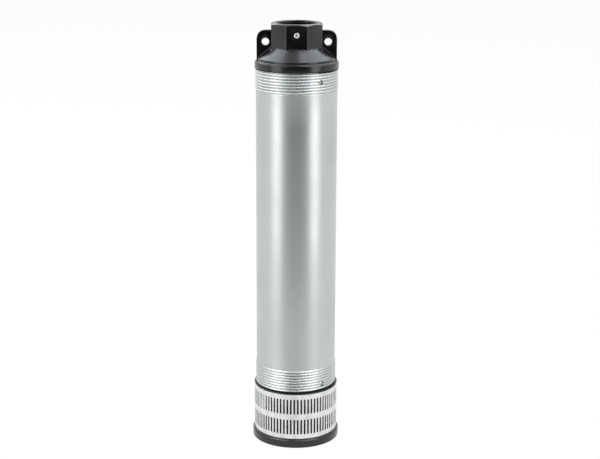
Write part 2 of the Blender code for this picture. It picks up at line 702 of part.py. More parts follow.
def base_screws(steel):
    """Pan-head screws that pull the cap up against the suction cover's posts."""
    head_low = CAP_RECESS + SEAT_GAP
    head_top = head_low + BASE_SCREW_HEAD_HEIGHT
    outline = [
        (0.0, head_low), (BASE_SCREW_HEAD_RADIUS, head_low), (BASE_SCREW_HEAD_RADIUS, head_top),
        (BASE_SCREW_RADIUS, head_top), (BASE_SCREW_RADIUS, head_top + BASE_SCREW_LENGTH),
        (0.0, head_top + BASE_SCREW_LENGTH),
    ]
    for index, (x, y) in enumerate(polygon(POST_COUNT, POST_CIRCLE_RADIUS, POST_TURN)):
        screw = place(f"base_screw_{index + 1}", turned(outline, SMALL_SEGMENTS), steel)
        screw.location = (x, y, 0.0)


def strainer(steel):
    """Sheet drum pierced by rows of upright slots: a pierced skin that is then thickened inwards."""
    low = CAP_HEIGHT - STRAINER_GROOVE_DEPTH + SEAT_GAP
    pierced = STRAINER_SHOWN - BAND_BELOW_SLOTS - BAND_ABOVE_SLOTS
    slot = (pierced - (SLOT_ROWS - 1) * BAND_BETWEEN_SLOTS) / SLOT_ROWS
    levels = []
    for row in range(SLOT_ROWS):
        start = CAP_HEIGHT + BAND_BELOW_SLOTS + row * (slot + BAND_BETWEEN_SLOTS)
        levels += [start, start + slot]
    half = SLOT_WIDTH / STRAINER_RADIUS / 2
    skin = bmesh.new()

    def corner(angle, height):
        """Add one corner of the skin."""
        return skin.verts.new((STRAINER_RADIUS * math.cos(angle), STRAINER_RADIUS * math.sin(angle), height))

    columns = []
    for angle in around(SLOT_COLUMNS, SLOT_TURN):
        left = [corner(angle - half, height) for height in levels]
        right = [corner(angle + half, height) for height in levels]
        columns.append((left, right, corner(angle, low), corner(angle, FLANGE_LOW - SEAT_GAP)))
    for (left, right, foot, top), after in zip(columns, columns[1:] + columns[:1]):
        skin.faces.new((foot, right[0], left[0]))
        skin.faces.new((top, left[-1], right[-1]))
        for level in range(1, len(levels) - 1, 2):
            skin.faces.new((left[level], right[level], right[level + 1], left[level + 1]))
        for lower, upper in zip(range(len(levels)), range(1, len(levels))):
            skin.faces.new((right[lower], after[0][lower], after[0][upper], right[upper]))
        skin.faces.new((foot, after[2], after[0][0], right[0]))
        skin.faces.new((right[-1], after[0][-1], after[3], top))
    thick = bmesh.ops.extrude_face_region(skin, geom=list(skin.faces))
    inward = STRAINER_BORE / STRAINER_RADIUS
    walls = [item for item in thick["geom"] if isinstance(item, bmesh.types.BMVert)]
    bmesh.ops.scale(skin, verts=walls, vec=(inward, inward, 1.0))
    return place("strainer", skin, steel)


def suction_cover(plastic):
    """Inlet cover: flange, skirt inside the strainer, first impeller chamber, posts and ribs."""
    skirt = STRAINER_BORE - SEAT_GAP
    skirt_bore = skirt - SUCTION_SKIRT_WALL
    top = CASING_LOW - SEAT_GAP
    outline = [
        (EYE_RADIUS, FLANGE_LOW + EYE_CHAMFER), (EYE_RADIUS + EYE_CHAMFER, FLANGE_LOW),
        (skirt_bore, FLANGE_LOW), (skirt_bore, FLANGE_LOW - SUCTION_SKIRT),
        (skirt, FLANGE_LOW - SUCTION_SKIRT), (skirt, FLANGE_LOW), (FLANGE_RADIUS, FLANGE_LOW),
        (FLANGE_RADIUS, FLANGE_TOP), (SPIGOT_RADIUS, FLANGE_TOP),
        (SPIGOT_RADIUS, top), (CHAMBER_RADIUS, top), (CHAMBER_RADIUS, CHAMBER_FLOOR),
        (EYE_RADIUS, CHAMBER_FLOOR),
    ]
    cover = place("suction_cover", turned(outline, OUTER_SEGMENTS), plastic)
    foot = CAP_INNER_FLOOR + SEAT_GAP
    spots = polygon(POST_COUNT, POST_CIRCLE_RADIUS, POST_TURN)
    root = FLANGE_LOW + POST_ROOT
    joined(cover, gathered([rod(POST_RADIUS, foot, root, spot) for spot in spots]))
    ribs = star(POST_COUNT, POST_CIRCLE_RADIUS, INLET_RIB_THICKNESS, POST_TURN)
    joined(cover, prism(ribs, foot, root))
    under_eye = FLANGE_LOW - INLET_RIB_DROP
    cut(cover, rod(EYE_RADIUS - INLET_RIB_LAP, under_eye, root + OVERCUT, segments=INNER_SEGMENTS))
    tip = CAP_RECESS + SEAT_GAP + BASE_SCREW_HEAD_HEIGHT + BASE_SCREW_LENGTH + POST_HOLE_SPARE
    hole = BASE_SCREW_RADIUS + SCREW_GAP
    cut(cover, gathered([rod(hole, foot - OVERCUT, tip, spot) for spot in spots]))
    return cut(cover, lock_screw_hole(CHAMBER_RADIUS, LOWER_LOCK_ANGLE, TUBE_LOW + LOWER_LOCK_RISE))


def lock_screw_hole(wall_bore, angle, height):
    """Cutter for a lock screw's hole through a spigot's wall."""
    hole = LOCK_SCREW_RADIUS + SCREW_GAP
    return radial_rod(hole, wall_bore - 2 * OVERCUT, SPIGOT_RADIUS + OVERCUT, angle, height)


def stage_casing(name, height, plastic):
    """Stage casing: return vanes between two plates, and the next impeller's chamber above."""
    passage = STAGE_PITCH - STAGE_CHAMBER - 2 * STAGE_PLATE
    floor = STAGE_PLATE + passage
    top = STAGE_PITCH - SEAT_GAP
    shell = [
        (EYE_RADIUS, floor), (CHAMBER_RADIUS, floor), (CHAMBER_RADIUS, 0.0), (SPIGOT_RADIUS, 0.0),
        (SPIGOT_RADIUS, top), (CHAMBER_RADIUS, top), (CHAMBER_RADIUS, floor + STAGE_PLATE),
        (EYE_RADIUS, floor + STAGE_PLATE),
    ]
    casing = place(name, turned(shell, INNER_SEGMENTS), plastic, height)
    overlap = STAGE_PLATE / 2
    inner = EYE_RADIUS + RETURN_VANE_INSET
    outer = CHAMBER_RADIUS + STAGE_WALL / 2
    outlines = [vane(inner, outer, -VANE_SWEEP, VANE_THICKNESS, turn) for turn in around(RETURN_VANES)]
    joined(casing, gathered([prism(outline, overlap, floor + overlap) for outline in outlines]))
    plate = box_ring(HUB_BORE, CHAMBER_RADIUS - DIFFUSER_INSET, 0.0, STAGE_PLATE)
    return joined(casing, turned(plate, INNER_SEGMENTS))


def impeller(name, height, plastic):
    """Closed impeller: hub and back shroud, curved vanes, and a front shroud with its neck."""
    front_top = IMPELLER_FLOOR_GAP + IMPELLER_SHROUD
    back_top = STAGE_CHAMBER - IMPELLER_ROOF_GAP
    back_low = back_top - IMPELLER_SHROUD
    hub_low = -IMPELLER_HUB_DROP
    hub_top = hub_low + HUB_LENGTH
    neck = EYE_RADIUS - RUNNING_GAP
    neck_bore = neck - IMPELLER_NECK_WALL
    back = [
        (SHAFT_BORE, hub_low), (IMPELLER_HUB_RADIUS, hub_low), (IMPELLER_HUB_RADIUS, back_low),
        (IMPELLER_RADIUS, back_low), (IMPELLER_RADIUS, back_top), (IMPELLER_HUB_RADIUS, back_top),
        (IMPELLER_HUB_RADIUS, hub_top), (SHAFT_BORE, hub_top),
    ]
    wheel = place(name, turned(back, INNER_SEGMENTS), plastic, height)
    overlap = IMPELLER_SHROUD / 2
    tip = IMPELLER_RADIUS - VANE_TIP_INSET
    outlines = [vane(neck_bore, tip, VANE_SWEEP, VANE_THICKNESS, turn) for turn in around(IMPELLER_VANES)]
    joined(wheel, gathered([prism(outline, front_top - overlap, back_low + overlap) for outline in outlines]))
    neck_low = IMPELLER_FLOOR_GAP - IMPELLER_NECK_LENGTH
    front = [
        (neck_bore, neck_low), (neck, neck_low), (neck, IMPELLER_FLOOR_GAP),
        (IMPELLER_RADIUS, IMPELLER_FLOOR_GAP), (IMPELLER_RADIUS, front_top), (neck_bore, front_top),
    ]
    return joined(wheel, turned(front, INNER_SEGMENTS))


def stages(plastic, resin):
    """Casings and impellers of every stage, copied from the first of each."""
    first_casing = stage_casing("stage_casing_1", CASING_LOW, plastic)
    for index in range(1, STAGE_COUNT - 1):
        copy_of(first_casing, f"stage_casing_{index + 1}", CASING_LOW + index * STAGE_PITCH)
    wheels = [impeller("impeller_1", CHAMBER_FLOOR, resin)]
    for index in range(1, STAGE_COUNT):
        wheels.append(copy_of(wheels[0], f"impeller_{index + 1}", CHAMBER_FLOOR + index * STAGE_PITCH))
    return wheels


def discharge_bowl(plastic):
    """Last diffuser: an outer ring on axial vanes round the cup that carries the motor."""
    inner = CHAMBER_RADIUS - DIFFUSER_INSET
    hub = HUB_BORE + BOWL_HUB_WALL
    wall = inner - BOWL_WALL
    height = BOWL_TOP - BOWL_LOW
    flare = height - BOWL_RIM_HEIGHT
    hub_top = BUSH_LOW + BUSH_LENGTH + BOWL_HUB_STAND_OUT - BOWL_LOW
    cup = [
        (HUB_BORE, 0.0), (inner, 0.0), (inner, BOWL_RING_HEIGHT), (CAN_RADIUS, flare),
        (CAN_RADIUS, height), (CAN_RADIUS - BOWL_WALL, height), (CAN_RADIUS - BOWL_WALL, flare),
        (wall, BOWL_RING_HEIGHT), (wall, BOWL_WALL), (hub, BOWL_WALL), (hub, hub_top), (HUB_BORE, hub_top),
    ]
    bowl = place("discharge_bowl", turned(cup, INNER_SEGMENTS), plastic, BOWL_LOW)
    near = inner - BOWL_WALL / 2
    far = CHAMBER_RADIUS + STAGE_WALL / 2
    blades = [
        plank(near, far, VANE_THICKNESS, JOIN_DEPTH, BOWL_RING_HEIGHT - JOIN_DEPTH, turn)
        for turn in around(AXIAL_VANES)
    ]
    joined(bowl, gathered(blades))
    outer_ring = box_ring(CHAMBER_RADIUS, SPIGOT_RADIUS, 0.0, BOWL_RING_HEIGHT)
    return joined(bowl, turned(outer_ring, INNER_SEGMENTS))


def shaft(steel):
    """Stepped shaft from the impeller nut up to the upper bearing."""
    low = nut_low() - SHAFT_END_LENGTH
    bearing_foot = BEARING_LOW - SHAFT_SHOULDER_DROP
    rotor_foot = BRACKET_TOP + SEAT_GAP
    rotor_end = UPPER_BRACKET_LOW - SEAT_GAP
    top = UPPER_BRACKET_LOW + BEARING_WIDTH
    outline = [
        (0.0, low), (SHAFT_RADIUS, low), (SHAFT_RADIUS, bearing_foot), (BEARING_BORE_RADIUS, bearing_foot),
        (BEARING_BORE_RADIUS, rotor_foot), (ROTOR_SHAFT_RADIUS, rotor_foot), (ROTOR_SHAFT_RADIUS, rotor_end),
        (BEARING_BORE_RADIUS, rotor_end), (BEARING_BORE_RADIUS, top), (0.0, top),
    ]
    return place("rotor_shaft", turned(outline, SMALL_SEGMENTS), steel)


def nut_low():
    """Height of the impeller nut's underside."""
    return HUB_STACK_LOW - 2 * SEAT_GAP - WASHER_THICKNESS - NUT_HEIGHT


def impeller_fastening(steel, brass):
    """Washer and nut that hold the impellers on the shaft."""
    washer_ring = box_ring(SHAFT_BORE, WASHER_RADIUS, 0.0, WASHER_THICKNESS)
    washer_low = HUB_STACK_LOW - SEAT_GAP - WASHER_THICKNESS
    washer = place("impeller_washer", turned(washer_ring, SMALL_SEGMENTS), steel, washer_low)
    corner = NUT_FLAT / math.cos(math.pi / 6)
    nut = place("impeller_nut", prism(polygon(6, corner), 0.0, NUT_HEIGHT), brass, nut_low())
    return [washer, cut(nut, rod(SHAFT_BORE, -OVERCUT, NUT_HEIGHT + OVERCUT))]


def shaft_seal(steel, ceramic, carbon):
    """Fixed ceramic seat, and the spring and carbon face that turn with the shaft."""
    wound = coil(SEAL_SPRING_RADIUS, SEAL_SPRING_WIRE, SEAL_SPRING_LENGTH, SEAL_SPRING_TURNS)
    spring = place("seal_spring", wound, steel, SEAL_SPRING_LOW)
    face_ring = box_ring(SHAFT_BORE, SEAL_FACE_RADIUS, 0.0, SEAL_FACE_LENGTH)
    face = place("seal_face", turned(face_ring, INNER_SEGMENTS), carbon, SEAL_FACE_LOW)
    seat_ring = box_ring(BEARING_BORE_RADIUS, SEAL_SEAT_RADIUS, 0.0, SEAL_SEAT_LENGTH)
    place("seal_seat", turned(seat_ring, INNER_SEGMENTS), ceramic, SEAL_SEAT_LOW)
    return [spring, face]


def pump_bush(rubber):
    """Guide bush of the shaft in the discharge bowl's hub."""
    ring = box_ring(SHAFT_BORE, HUB_BORE - SEAT_GAP, 0.0, BUSH_LENGTH)
    return place("pump_bush", turned(ring, INNER_SEGMENTS), rubber, BUSH_LOW)


def lower_bracket(metal):
    """Motor's lower end cover: flange, spigot, bearing pocket above and seal pocket below."""
    seal = SEAL_SEAT_RADIUS + SEAT_GAP
    boss = seal + SEAL_BOSS_WALL
    bearing_boss = BEARING_POCKET + BEARING_BOSS_WALL
    plate = BRACKET_LOW + BRACKET_FLANGE + BRACKET_PLATE / 2
    rim = CORE_RADIUS - BRACKET_RIM_WALL
    bore = ROTOR_SHAFT_RADIUS - SEAT_GAP
    outline = [
        (bore, SEAL_SEAT_TOP), (seal, SEAL_SEAT_TOP), (seal, SEAL_SEAT_LOW), (boss, SEAL_SEAT_LOW),
        (boss, BRACKET_LOW), (CAN_RADIUS, BRACKET_LOW), (CAN_RADIUS, BRACKET_LOW + BRACKET_FLANGE),
        (CORE_RADIUS, BRACKET_LOW + BRACKET_FLANGE), (CORE_RADIUS, BRACKET_TOP), (rim, BRACKET_TOP),
        (rim, plate), (bearing_boss, plate), (bearing_boss, BRACKET_TOP), (BEARING_POCKET, BRACKET_TOP),
        (BEARING_POCKET, BEARING_LOW - SEAT_GAP), (bore, BEARING_LOW - SEAT_GAP),
    ]
    return place("lower_bracket", turned(outline, INNER_SEGMENTS), metal)


def bearing(name, low, steel):
    """Sealed ball bearing as one closed unit."""
    ring = box_ring(BEARING_BORE_RADIUS + SEAT_GAP, BEARING_RADIUS, 0.0, BEARING_WIDTH)
    return place(name, turned(ring, INNER_SEGMENTS), steel, low)


def stator(steel, iron, copper):
    """Motor can, stator core and the windings that stand out at its ends."""
    place("motor_shell", turned(box_ring(CAN_BORE, CAN_RADIUS, CAN_LOW, CAN_TOP), INNER_SEGMENTS), steel)
    core = box_ring(STATOR_BORE, CORE_RADIUS, 0.0, STATOR_LENGTH)
    place("stator_core", turned(core, INNER_SEGMENTS), iron, STATOR_LOW)
    inner = STATOR_BORE + WINDING_INSET
    outer = CORE_RADIUS - SEAT_GAP - WINDING_CLEARANCE
    bundle = [
        (inner, WINDING_ROUNDING), (inner + WINDING_ROUNDING, 0.0), (outer - WINDING_ROUNDING, 0.0),
        (outer, WINDING_ROUNDING), (outer, WINDING_LENGTH), (inner, WINDING_LENGTH),
    ]
    for name, low in (("lower_winding", LOWER_WINDING_LOW), ("upper_winding", UPPER_WINDING_LOW)):
        place(name, turned(bundle, INNER_SEGMENTS), copper, low)


def rotor_core(iron):
    """Laminated rotor with its narrower end rings."""
    bore = ROTOR_SHAFT_RADIUS + SEAT_GAP
    step = ROTOR_RADIUS - ROTOR_END_STEP
    core = [
        (bore, 0.0), (step, 0.0), (step, ROTOR_END_LENGTH), (ROTOR_RADIUS, ROTOR_END_LENGTH),
        (ROTOR_RADIUS, ROTOR_LENGTH - ROTOR_END_LENGTH), (step, ROTOR_LENGTH - ROTOR_END_LENGTH),
        (step, ROTOR_LENGTH), (bore, ROTOR_LENGTH),
    ]
    return place("rotor_core", turned(core, INNER_SEGMENTS), iron, ROTOR_LOW)


def capacitor(polymer):
    """Run capacitor that stands on the upper bracket."""
    can = [
        (0.0, 0.0), (CAPACITOR_RADIUS - CAPACITOR_EDGE, 0.0), (CAPACITOR_RADIUS, CAPACITOR_EDGE),
        (CAPACITOR_RADIUS, CAPACITOR_LENGTH - CAPACITOR_EDGE),
        (CAPACITOR_RADIUS - CAPACITOR_EDGE, CAPACITOR_LENGTH), (0.0, CAPACITOR_LENGTH),
    ]
    return place("capacitor", turned(can, INNER_SEGMENTS), polymer, CAPACITOR_LOW)


def upper_bracket(metal):
    """Disc inside the can that holds the upper bearing in a pocket open below."""
    boss = BEARING_POCKET + BEARING_BOSS_WALL
    plate = BEARING_WIDTH + SEAT_GAP
    top = plate + BRACKET_PLATE
    rim = CORE_RADIUS - BRACKET_RIM_WALL
    outline = [
        (0.0, plate), (BEARING_POCKET, plate), (BEARING_POCKET, 0.0), (boss, 0.0), (boss, plate),
        (rim, plate), (rim, 0.0), (CORE_RADIUS, 0.0), (CORE_RADIUS, top), (0.0, top),
    ]
    return place("upper_bracket", turned(outline, INNER_SEGMENTS), metal, UPPER_BRACKET_LOW)


def motor_lid(metal):
    """Domed lid of the motor, with a spigot in the can and the cable's entry boss."""
    rim = CORE_RADIUS - BRACKET_RIM_WALL
    crown = LID_FLANGE + LID_DOME
    outline = [
        (0.0, crown - LID_WALL), (rim - LID_DOME, crown - LID_WALL), (rim, LID_FLANGE - LID_WALL),
        (rim, -LID_SPIGOT), (CORE_RADIUS, -LID_SPIGOT), (CORE_RADIUS, 0.0), (CAN_RADIUS, 0.0),
        (CAN_RADIUS, LID_FLANGE), (CAN_RADIUS - LID_SHOULDER, LID_FLANGE),
        (CAN_RADIUS - LID_SHOULDER - LID_DOME, crown), (0.0, crown),
    ]
    lid = place("motor_top_cover", turned(outline, INNER_SEGMENTS), metal, LID_LOW)
    spot = (0.0, CABLE_BOSS_OFFSET)
    joined(lid, rod(CABLE_BOSS_RADIUS, crown - LID_WALL / 2, crown + CABLE_BOSS_HEIGHT, spot))
    return cut(lid, rod(CABLE_RADIUS, crown - 2 * LID_WALL, crown + CABLE_BOSS_HEIGHT + OVERCUT, spot))


def clamp_spider(plastic):
    """Two rings on radial legs, through which the head presses the motor down."""
    inner = CAN_RADIUS - LID_SHOULDER + SEAT_GAP
    foot = box_ring(inner, CAN_RADIUS, SPIDER_LOW, SPIDER_LOW + SPIDER_RING_HEIGHT)
    spider = place("clamp_spider", turned(foot, INNER_SEGMENTS), plastic)
    near = (inner + CAN_RADIUS) / 2
    far = (CHAMBER_RADIUS + SPIGOT_RADIUS) / 2
    sunk = SPIDER_RING_HEIGHT / 2
    legs = [
        plank(near, far, SPIDER_LEG_THICKNESS, SPIDER_LOW + sunk, SPIDER_TOP - sunk, turn)
        for turn in around(SPIDER_LEGS)
    ]
    joined(spider, gathered(legs))
    upper = box_ring(HEAD_CAVITY_RADIUS, SPIGOT_RADIUS, SPIDER_TOP - SPIDER_RING_HEIGHT, SPIDER_TOP)
    return joined(spider, turned(upper, INNER_SEGMENTS))


def head_body(plastic):
    """Turned body of the head: spigot, rim with its groove, and cone, without the inner passages."""
    roof = HEAD_LOW + HEAD_ROOF_RISE
    core = THROAT_RADIUS - 2 * JOIN_DEPTH
    half_groove = HEAD_GROOVE_WIDTH / 2
    outline = [
        (HEAD_CAVITY_RADIUS, HEAD_SPIGOT_LOW), (SPIGOT_RADIUS, HEAD_SPIGOT_LOW), (SPIGOT_RADIUS, HEAD_LOW),
        (HEAD_RADIUS, HEAD_LOW), (HEAD_RADIUS, RIM_TOP - HEAD_RIM_CHAMFER),
        (HEAD_RADIUS - HEAD_RIM_CHAMFER, RIM_TOP), (CONE_FOOT_RADIUS + half_groove, RIM_TOP),
        (CONE_FOOT_RADIUS - half_groove, RIM_TOP + HEAD_GROOVE_RISE), (CONE_FOOT_RADIUS, CONE_FOOT),
        (CONE_TOP_RADIUS, PORT_FOOT), (core, PORT_FOOT), (core, roof), (HEAD_CAVITY_RADIUS, roof),
    ]
    return place("outlet_head", turned(outline, OUTER_SEGMENTS), plastic)


def head_passage():
    """Cutter for the water's way: cavity, throat below the valve's shelf, port and its mouth."""
    roof = HEAD_LOW + HEAD_ROOF_RISE
    roof_radius = HEAD_CAVITY_RADIUS - HEAD_ROOF_LEDGE
    mouth = PORT_TOP + OVERCUT
    outline = [
        (0.0, roof - OVERCUT), (roof_radius, roof - OVERCUT), (roof_radius, roof),
        (PORT_BORE_RADIUS + HEAD_NECK_STEP, VALVE_SHELF_LOW), (THROAT_RADIUS, VALVE_SHELF_LOW),
        (THROAT_RADIUS, VALVE_SHELF_TOP), (PORT_BORE_RADIUS, VALVE_SHELF_TOP),
        (PORT_BORE_RADIUS, PORT_TOP - PORT_MOUTH_CHAMFER), (PORT_MOUTH_RADIUS, PORT_TOP),
        (PORT_MOUTH_RADIUS, mouth), (0.0, mouth),
    ]
    return turned(outline, INNER_SEGMENTS)


def outlet_head(plastic):
    """Head: turned body, rope ears, octagonal port and gland boss, opened by its passages and holes."""
    head = head_body(plastic)
    joined(head, ears(plastic))
    joined(head, octagon(plastic))
    spot = (0.0, gland_centre())
    boss_top = gland_top()
    pocket_low = boss_top - GLAND_POCKET_DEPTH
    joined(head, rod(GLAND_BOSS_RADIUS, CONE_FOOT, boss_top, spot))
    cut(head, head_passage())
    cut(head, rod(GLAND_POCKET_RADIUS, pocket_low, boss_top + OVERCUT, spot))
    cut(head, rod(GLAND_BORE_RADIUS, HEAD_LOW, pocket_low + OVERCUT, spot))
    socket = PORT_SCREW_RADIUS + SCREW_GAP
    deepest = PORT_FLAT - PORT_SCREW_DEPTH - SEAT_GAP
    cut(head, front_rod(socket, deepest, PORT_FLAT + OVERCUT, PORT_TOP - PORT_SCREW_DROP))
    return cut(head, lock_screw_hole(HEAD_CAVITY_RADIUS, UPPER_LOCK_ANGLE, TUBE_TOP - UPPER_LOCK_DROP))


def ear_outline(side):
    """Outline of one rope ear in x and z, with its outer upper corner rounded."""
    top = PORT_TOP - EAR_TOP_DROP
    foot = RIM_TOP - JOIN_DEPTH
    root = EAR_CENTRE - EAR_HOLE_OFFSET - EAR_ROOT
    outline = [(side * root, top), (side * root, foot), (side * EAR_REACH, foot)]
    for step in range(EAR_CORNER_STEPS + 1):
        angle = math.pi / 2 * step / EAR_CORNER_STEPS
        x = EAR_REACH - EAR_CORNER_RADIUS * (1 - math.cos(angle))
        outline.append((side * x, top - EAR_CORNER_RADIUS * (1 - math.sin(angle))))
    return outline


def ears(plastic):
    """Both rope ears, each an upright plate with a round eye."""
    half = EAR_THICKNESS / 2
    upright = math.radians(90.0)
    eye_height = PORT_TOP - EAR_TOP_DROP - EAR_HOLE_DROP
    plates = [tilted(prism(ear_outline(side), -half, half), "X", upright) for side in (1, -1)]
    centres = [(side * EAR_CENTRE, eye_height) for side in (1, -1)]
    bars = [rod(EAR_HOLE_RADIUS, -EAR_THICKNESS, EAR_THICKNESS, centre) for centre in centres]
    eyes = [tilted(bar, "X", upright) for bar in bars]
    return taken_back(cut(place("ears", gathered(plates), plastic), gathered(eyes)))


def octagon(plastic):
    """Octagonal port blank, with its upper corners turned off like a nut's."""
    corner = PORT_FLAT / math.cos(math.pi / 8)
    blank = place("octagon", prism(polygon(8, corner, math.pi / 8), VALVE_SHELF_LOW, PORT_TOP), plastic)
    inner = PORT_FLAT - PORT_CHAMFER_INSET
    outer = corner + PORT_CHAMFER
    slope = PORT_CHAMFER / (corner - inner)
    ring = [
        (inner, PORT_TOP), (outer, PORT_TOP - slope * (outer - inner)),
        (outer, PORT_TOP + PORT_CHAMFER), (inner, PORT_TOP + PORT_CHAMFER),
    ]
    return taken_back(cut(blank, turned(ring, OUTER_SEGMENTS)))


def front_rod(radius, inner, outer, height, segments=SMALL_SEGMENTS):
    """Round bar that points to the front."""
    bar = tilted(rod(radius, inner, outer, segments=segments), "X", math.radians(90.0))
    return shifted(bar, z=height)


def gland_centre():
    """Distance of the cable gland's axis behind the pump's axis."""
    return PORT_FLAT + GLAND_CLEARANCE + GLAND_NUT_ACROSS_FLATS / 2 / math.cos(math.pi / 6)


def gland_top():
    """Height of the gland boss's upper face."""
    return PORT_FOOT + GLAND_BOSS_RISE


def cable_gland(brass, rubber):
    """Compression nut and the rubber grommet that it squeezes round the cable."""
    y = gland_centre()
    top = gland_top()
    corner = GLAND_NUT_ACROSS_FLATS / 2 / math.cos(math.pi / 6)
    low = top + SEAT_GAP
    nut = place("gland_nut", prism(polygon(6, corner, centre=(0.0, y)), low, low + GLAND_NUT_HEIGHT), brass)
    sleeve = GLAND_POCKET_RADIUS - SEAT_GAP
    sleeve_low = low - GLAND_SLEEVE_LENGTH
    joined(nut, rod(sleeve, sleeve_low, low + JOIN_DEPTH, (0.0, y)))
    cut(nut, rod(GLAND_BORE_RADIUS, sleeve_low - OVERCUT, low + GLAND_NUT_HEIGHT + OVERCUT, (0.0, y)))
    grommet_low = top - GLAND_POCKET_DEPTH + SEAT_GAP
    grommet = place("gland_grommet", rod(sleeve, grommet_low, sleeve_low - SEAT_GAP, (0.0, y)), rubber)
    cut(grommet, rod(CABLE_RADIUS, grommet_low - OVERCUT, sleeve_low, (0.0, y)))


def port_screw(steel):
    """Small socket screw in the octagon's front facet."""
    inner = PORT_FLAT - PORT_SCREW_DEPTH
    outer = PORT_FLAT + PORT_SCREW_STAND_OUT
    height = PORT_TOP - PORT_SCREW_DROP
    screw = place("port_screw", front_rod(PORT_SCREW_RADIUS, inner, outer, height), steel)
    socket = front_rod(PORT_SCREW_SOCKET_RADIUS, outer - PORT_SCREW_SOCKET_DEPTH, outer + OVERCUT, height, 6)
    return cut(screw, socket)


def valve_seat(brass):
    """Seat ring of the check valve, with the stem's guide on three spokes."""
    ring = box_ring(VALVE_THROAT_RADIUS, VALVE_SEAT_RADIUS, VALVE_SEAT_LOW, VALVE_SEAT_TOP)
    seat = place("valve_seat", turned(ring, INNER_SEGMENTS), brass)
    joined(seat, rod(VALVE_HUB_RADIUS, VALVE_HUB_LOW, VALVE_SEAT_TOP - VALVE_HUB_SINK))
    far = VALVE_THROAT_RADIUS + 2 * JOIN_DEPTH
    low = VALVE_SEAT_LOW + VALVE_SPOKE_RISE
    high = VALVE_SEAT_TOP - VALVE_SPOKE_DROP
    for turn in around(VALVE_SPOKES, math.pi / 2):
        joined(seat, plank(JOIN_DEPTH, far, VALVE_SPOKE_WIDTH, low, high, turn))
    guide = VALVE_STEM_RADIUS + RUNNING_GAP
    return cut(seat, rod(guide, VALVE_HUB_LOW - OVERCUT, VALVE_SEAT_TOP + OVERCUT))


def valve_poppet(polymer):
    """Disc and stem of the check valve."""
    stem_low = VALVE_CLIP_LOW - VALVE_STEM_END
    disc_top = VALVE_DISC_LOW + VALVE_DISC_HEIGHT
    outline = [
        (0.0, stem_low), (VALVE_STEM_RADIUS, stem_low), (VALVE_STEM_RADIUS, VALVE_DISC_LOW),
        (VALVE_DISC_RADIUS, VALVE_DISC_LOW), (VALVE_DISC_RADIUS, disc_top - VALVE_DISC_EDGE),
        (VALVE_DISC_RADIUS - VALVE_DISC_EDGE, disc_top), (0.0, disc_top),
    ]
    return place("valve_poppet", turned(outline, INNER_SEGMENTS), polymer)


def valve_trim(rubber, steel):
    """Seal, spring and clip, which travel with the poppet."""
    seal_ring = box_ring(VALVE_THROAT_RADIUS - VALVE_SEAL_LIP, VALVE_DISC_RADIUS, 0.0, VALVE_SEAL_HEIGHT)
    seal = place("valve_seal", turned(seal_ring, INNER_SEGMENTS), rubber, VALVE_SEAL_LOW)
    wound = coil(VALVE_SPRING_RADIUS, VALVE_SPRING_WIRE, VALVE_SPRING_LENGTH, VALVE_SPRING_TURNS)
    spring = place("valve_spring", wound, steel, VALVE_SPRING_LOW)
    clip_ring = box_ring(VALVE_STEM_RADIUS + SEAT_GAP, VALVE_CLIP_RADIUS, 0.0, VALVE_CLIP_HEIGHT)
    return [seal, spring, place("valve_clip", turned(clip_ring, SMALL_SEGMENTS), steel, VALVE_CLIP_LOW)]


def hang_on(name, pieces):
    """Parent the pieces that move together to an empty on their axis."""
    axis = bpy.data.objects.new(name, None)
    bpy.context.collection.objects.link(axis)
    for piece in pieces:
        piece.parent = axis


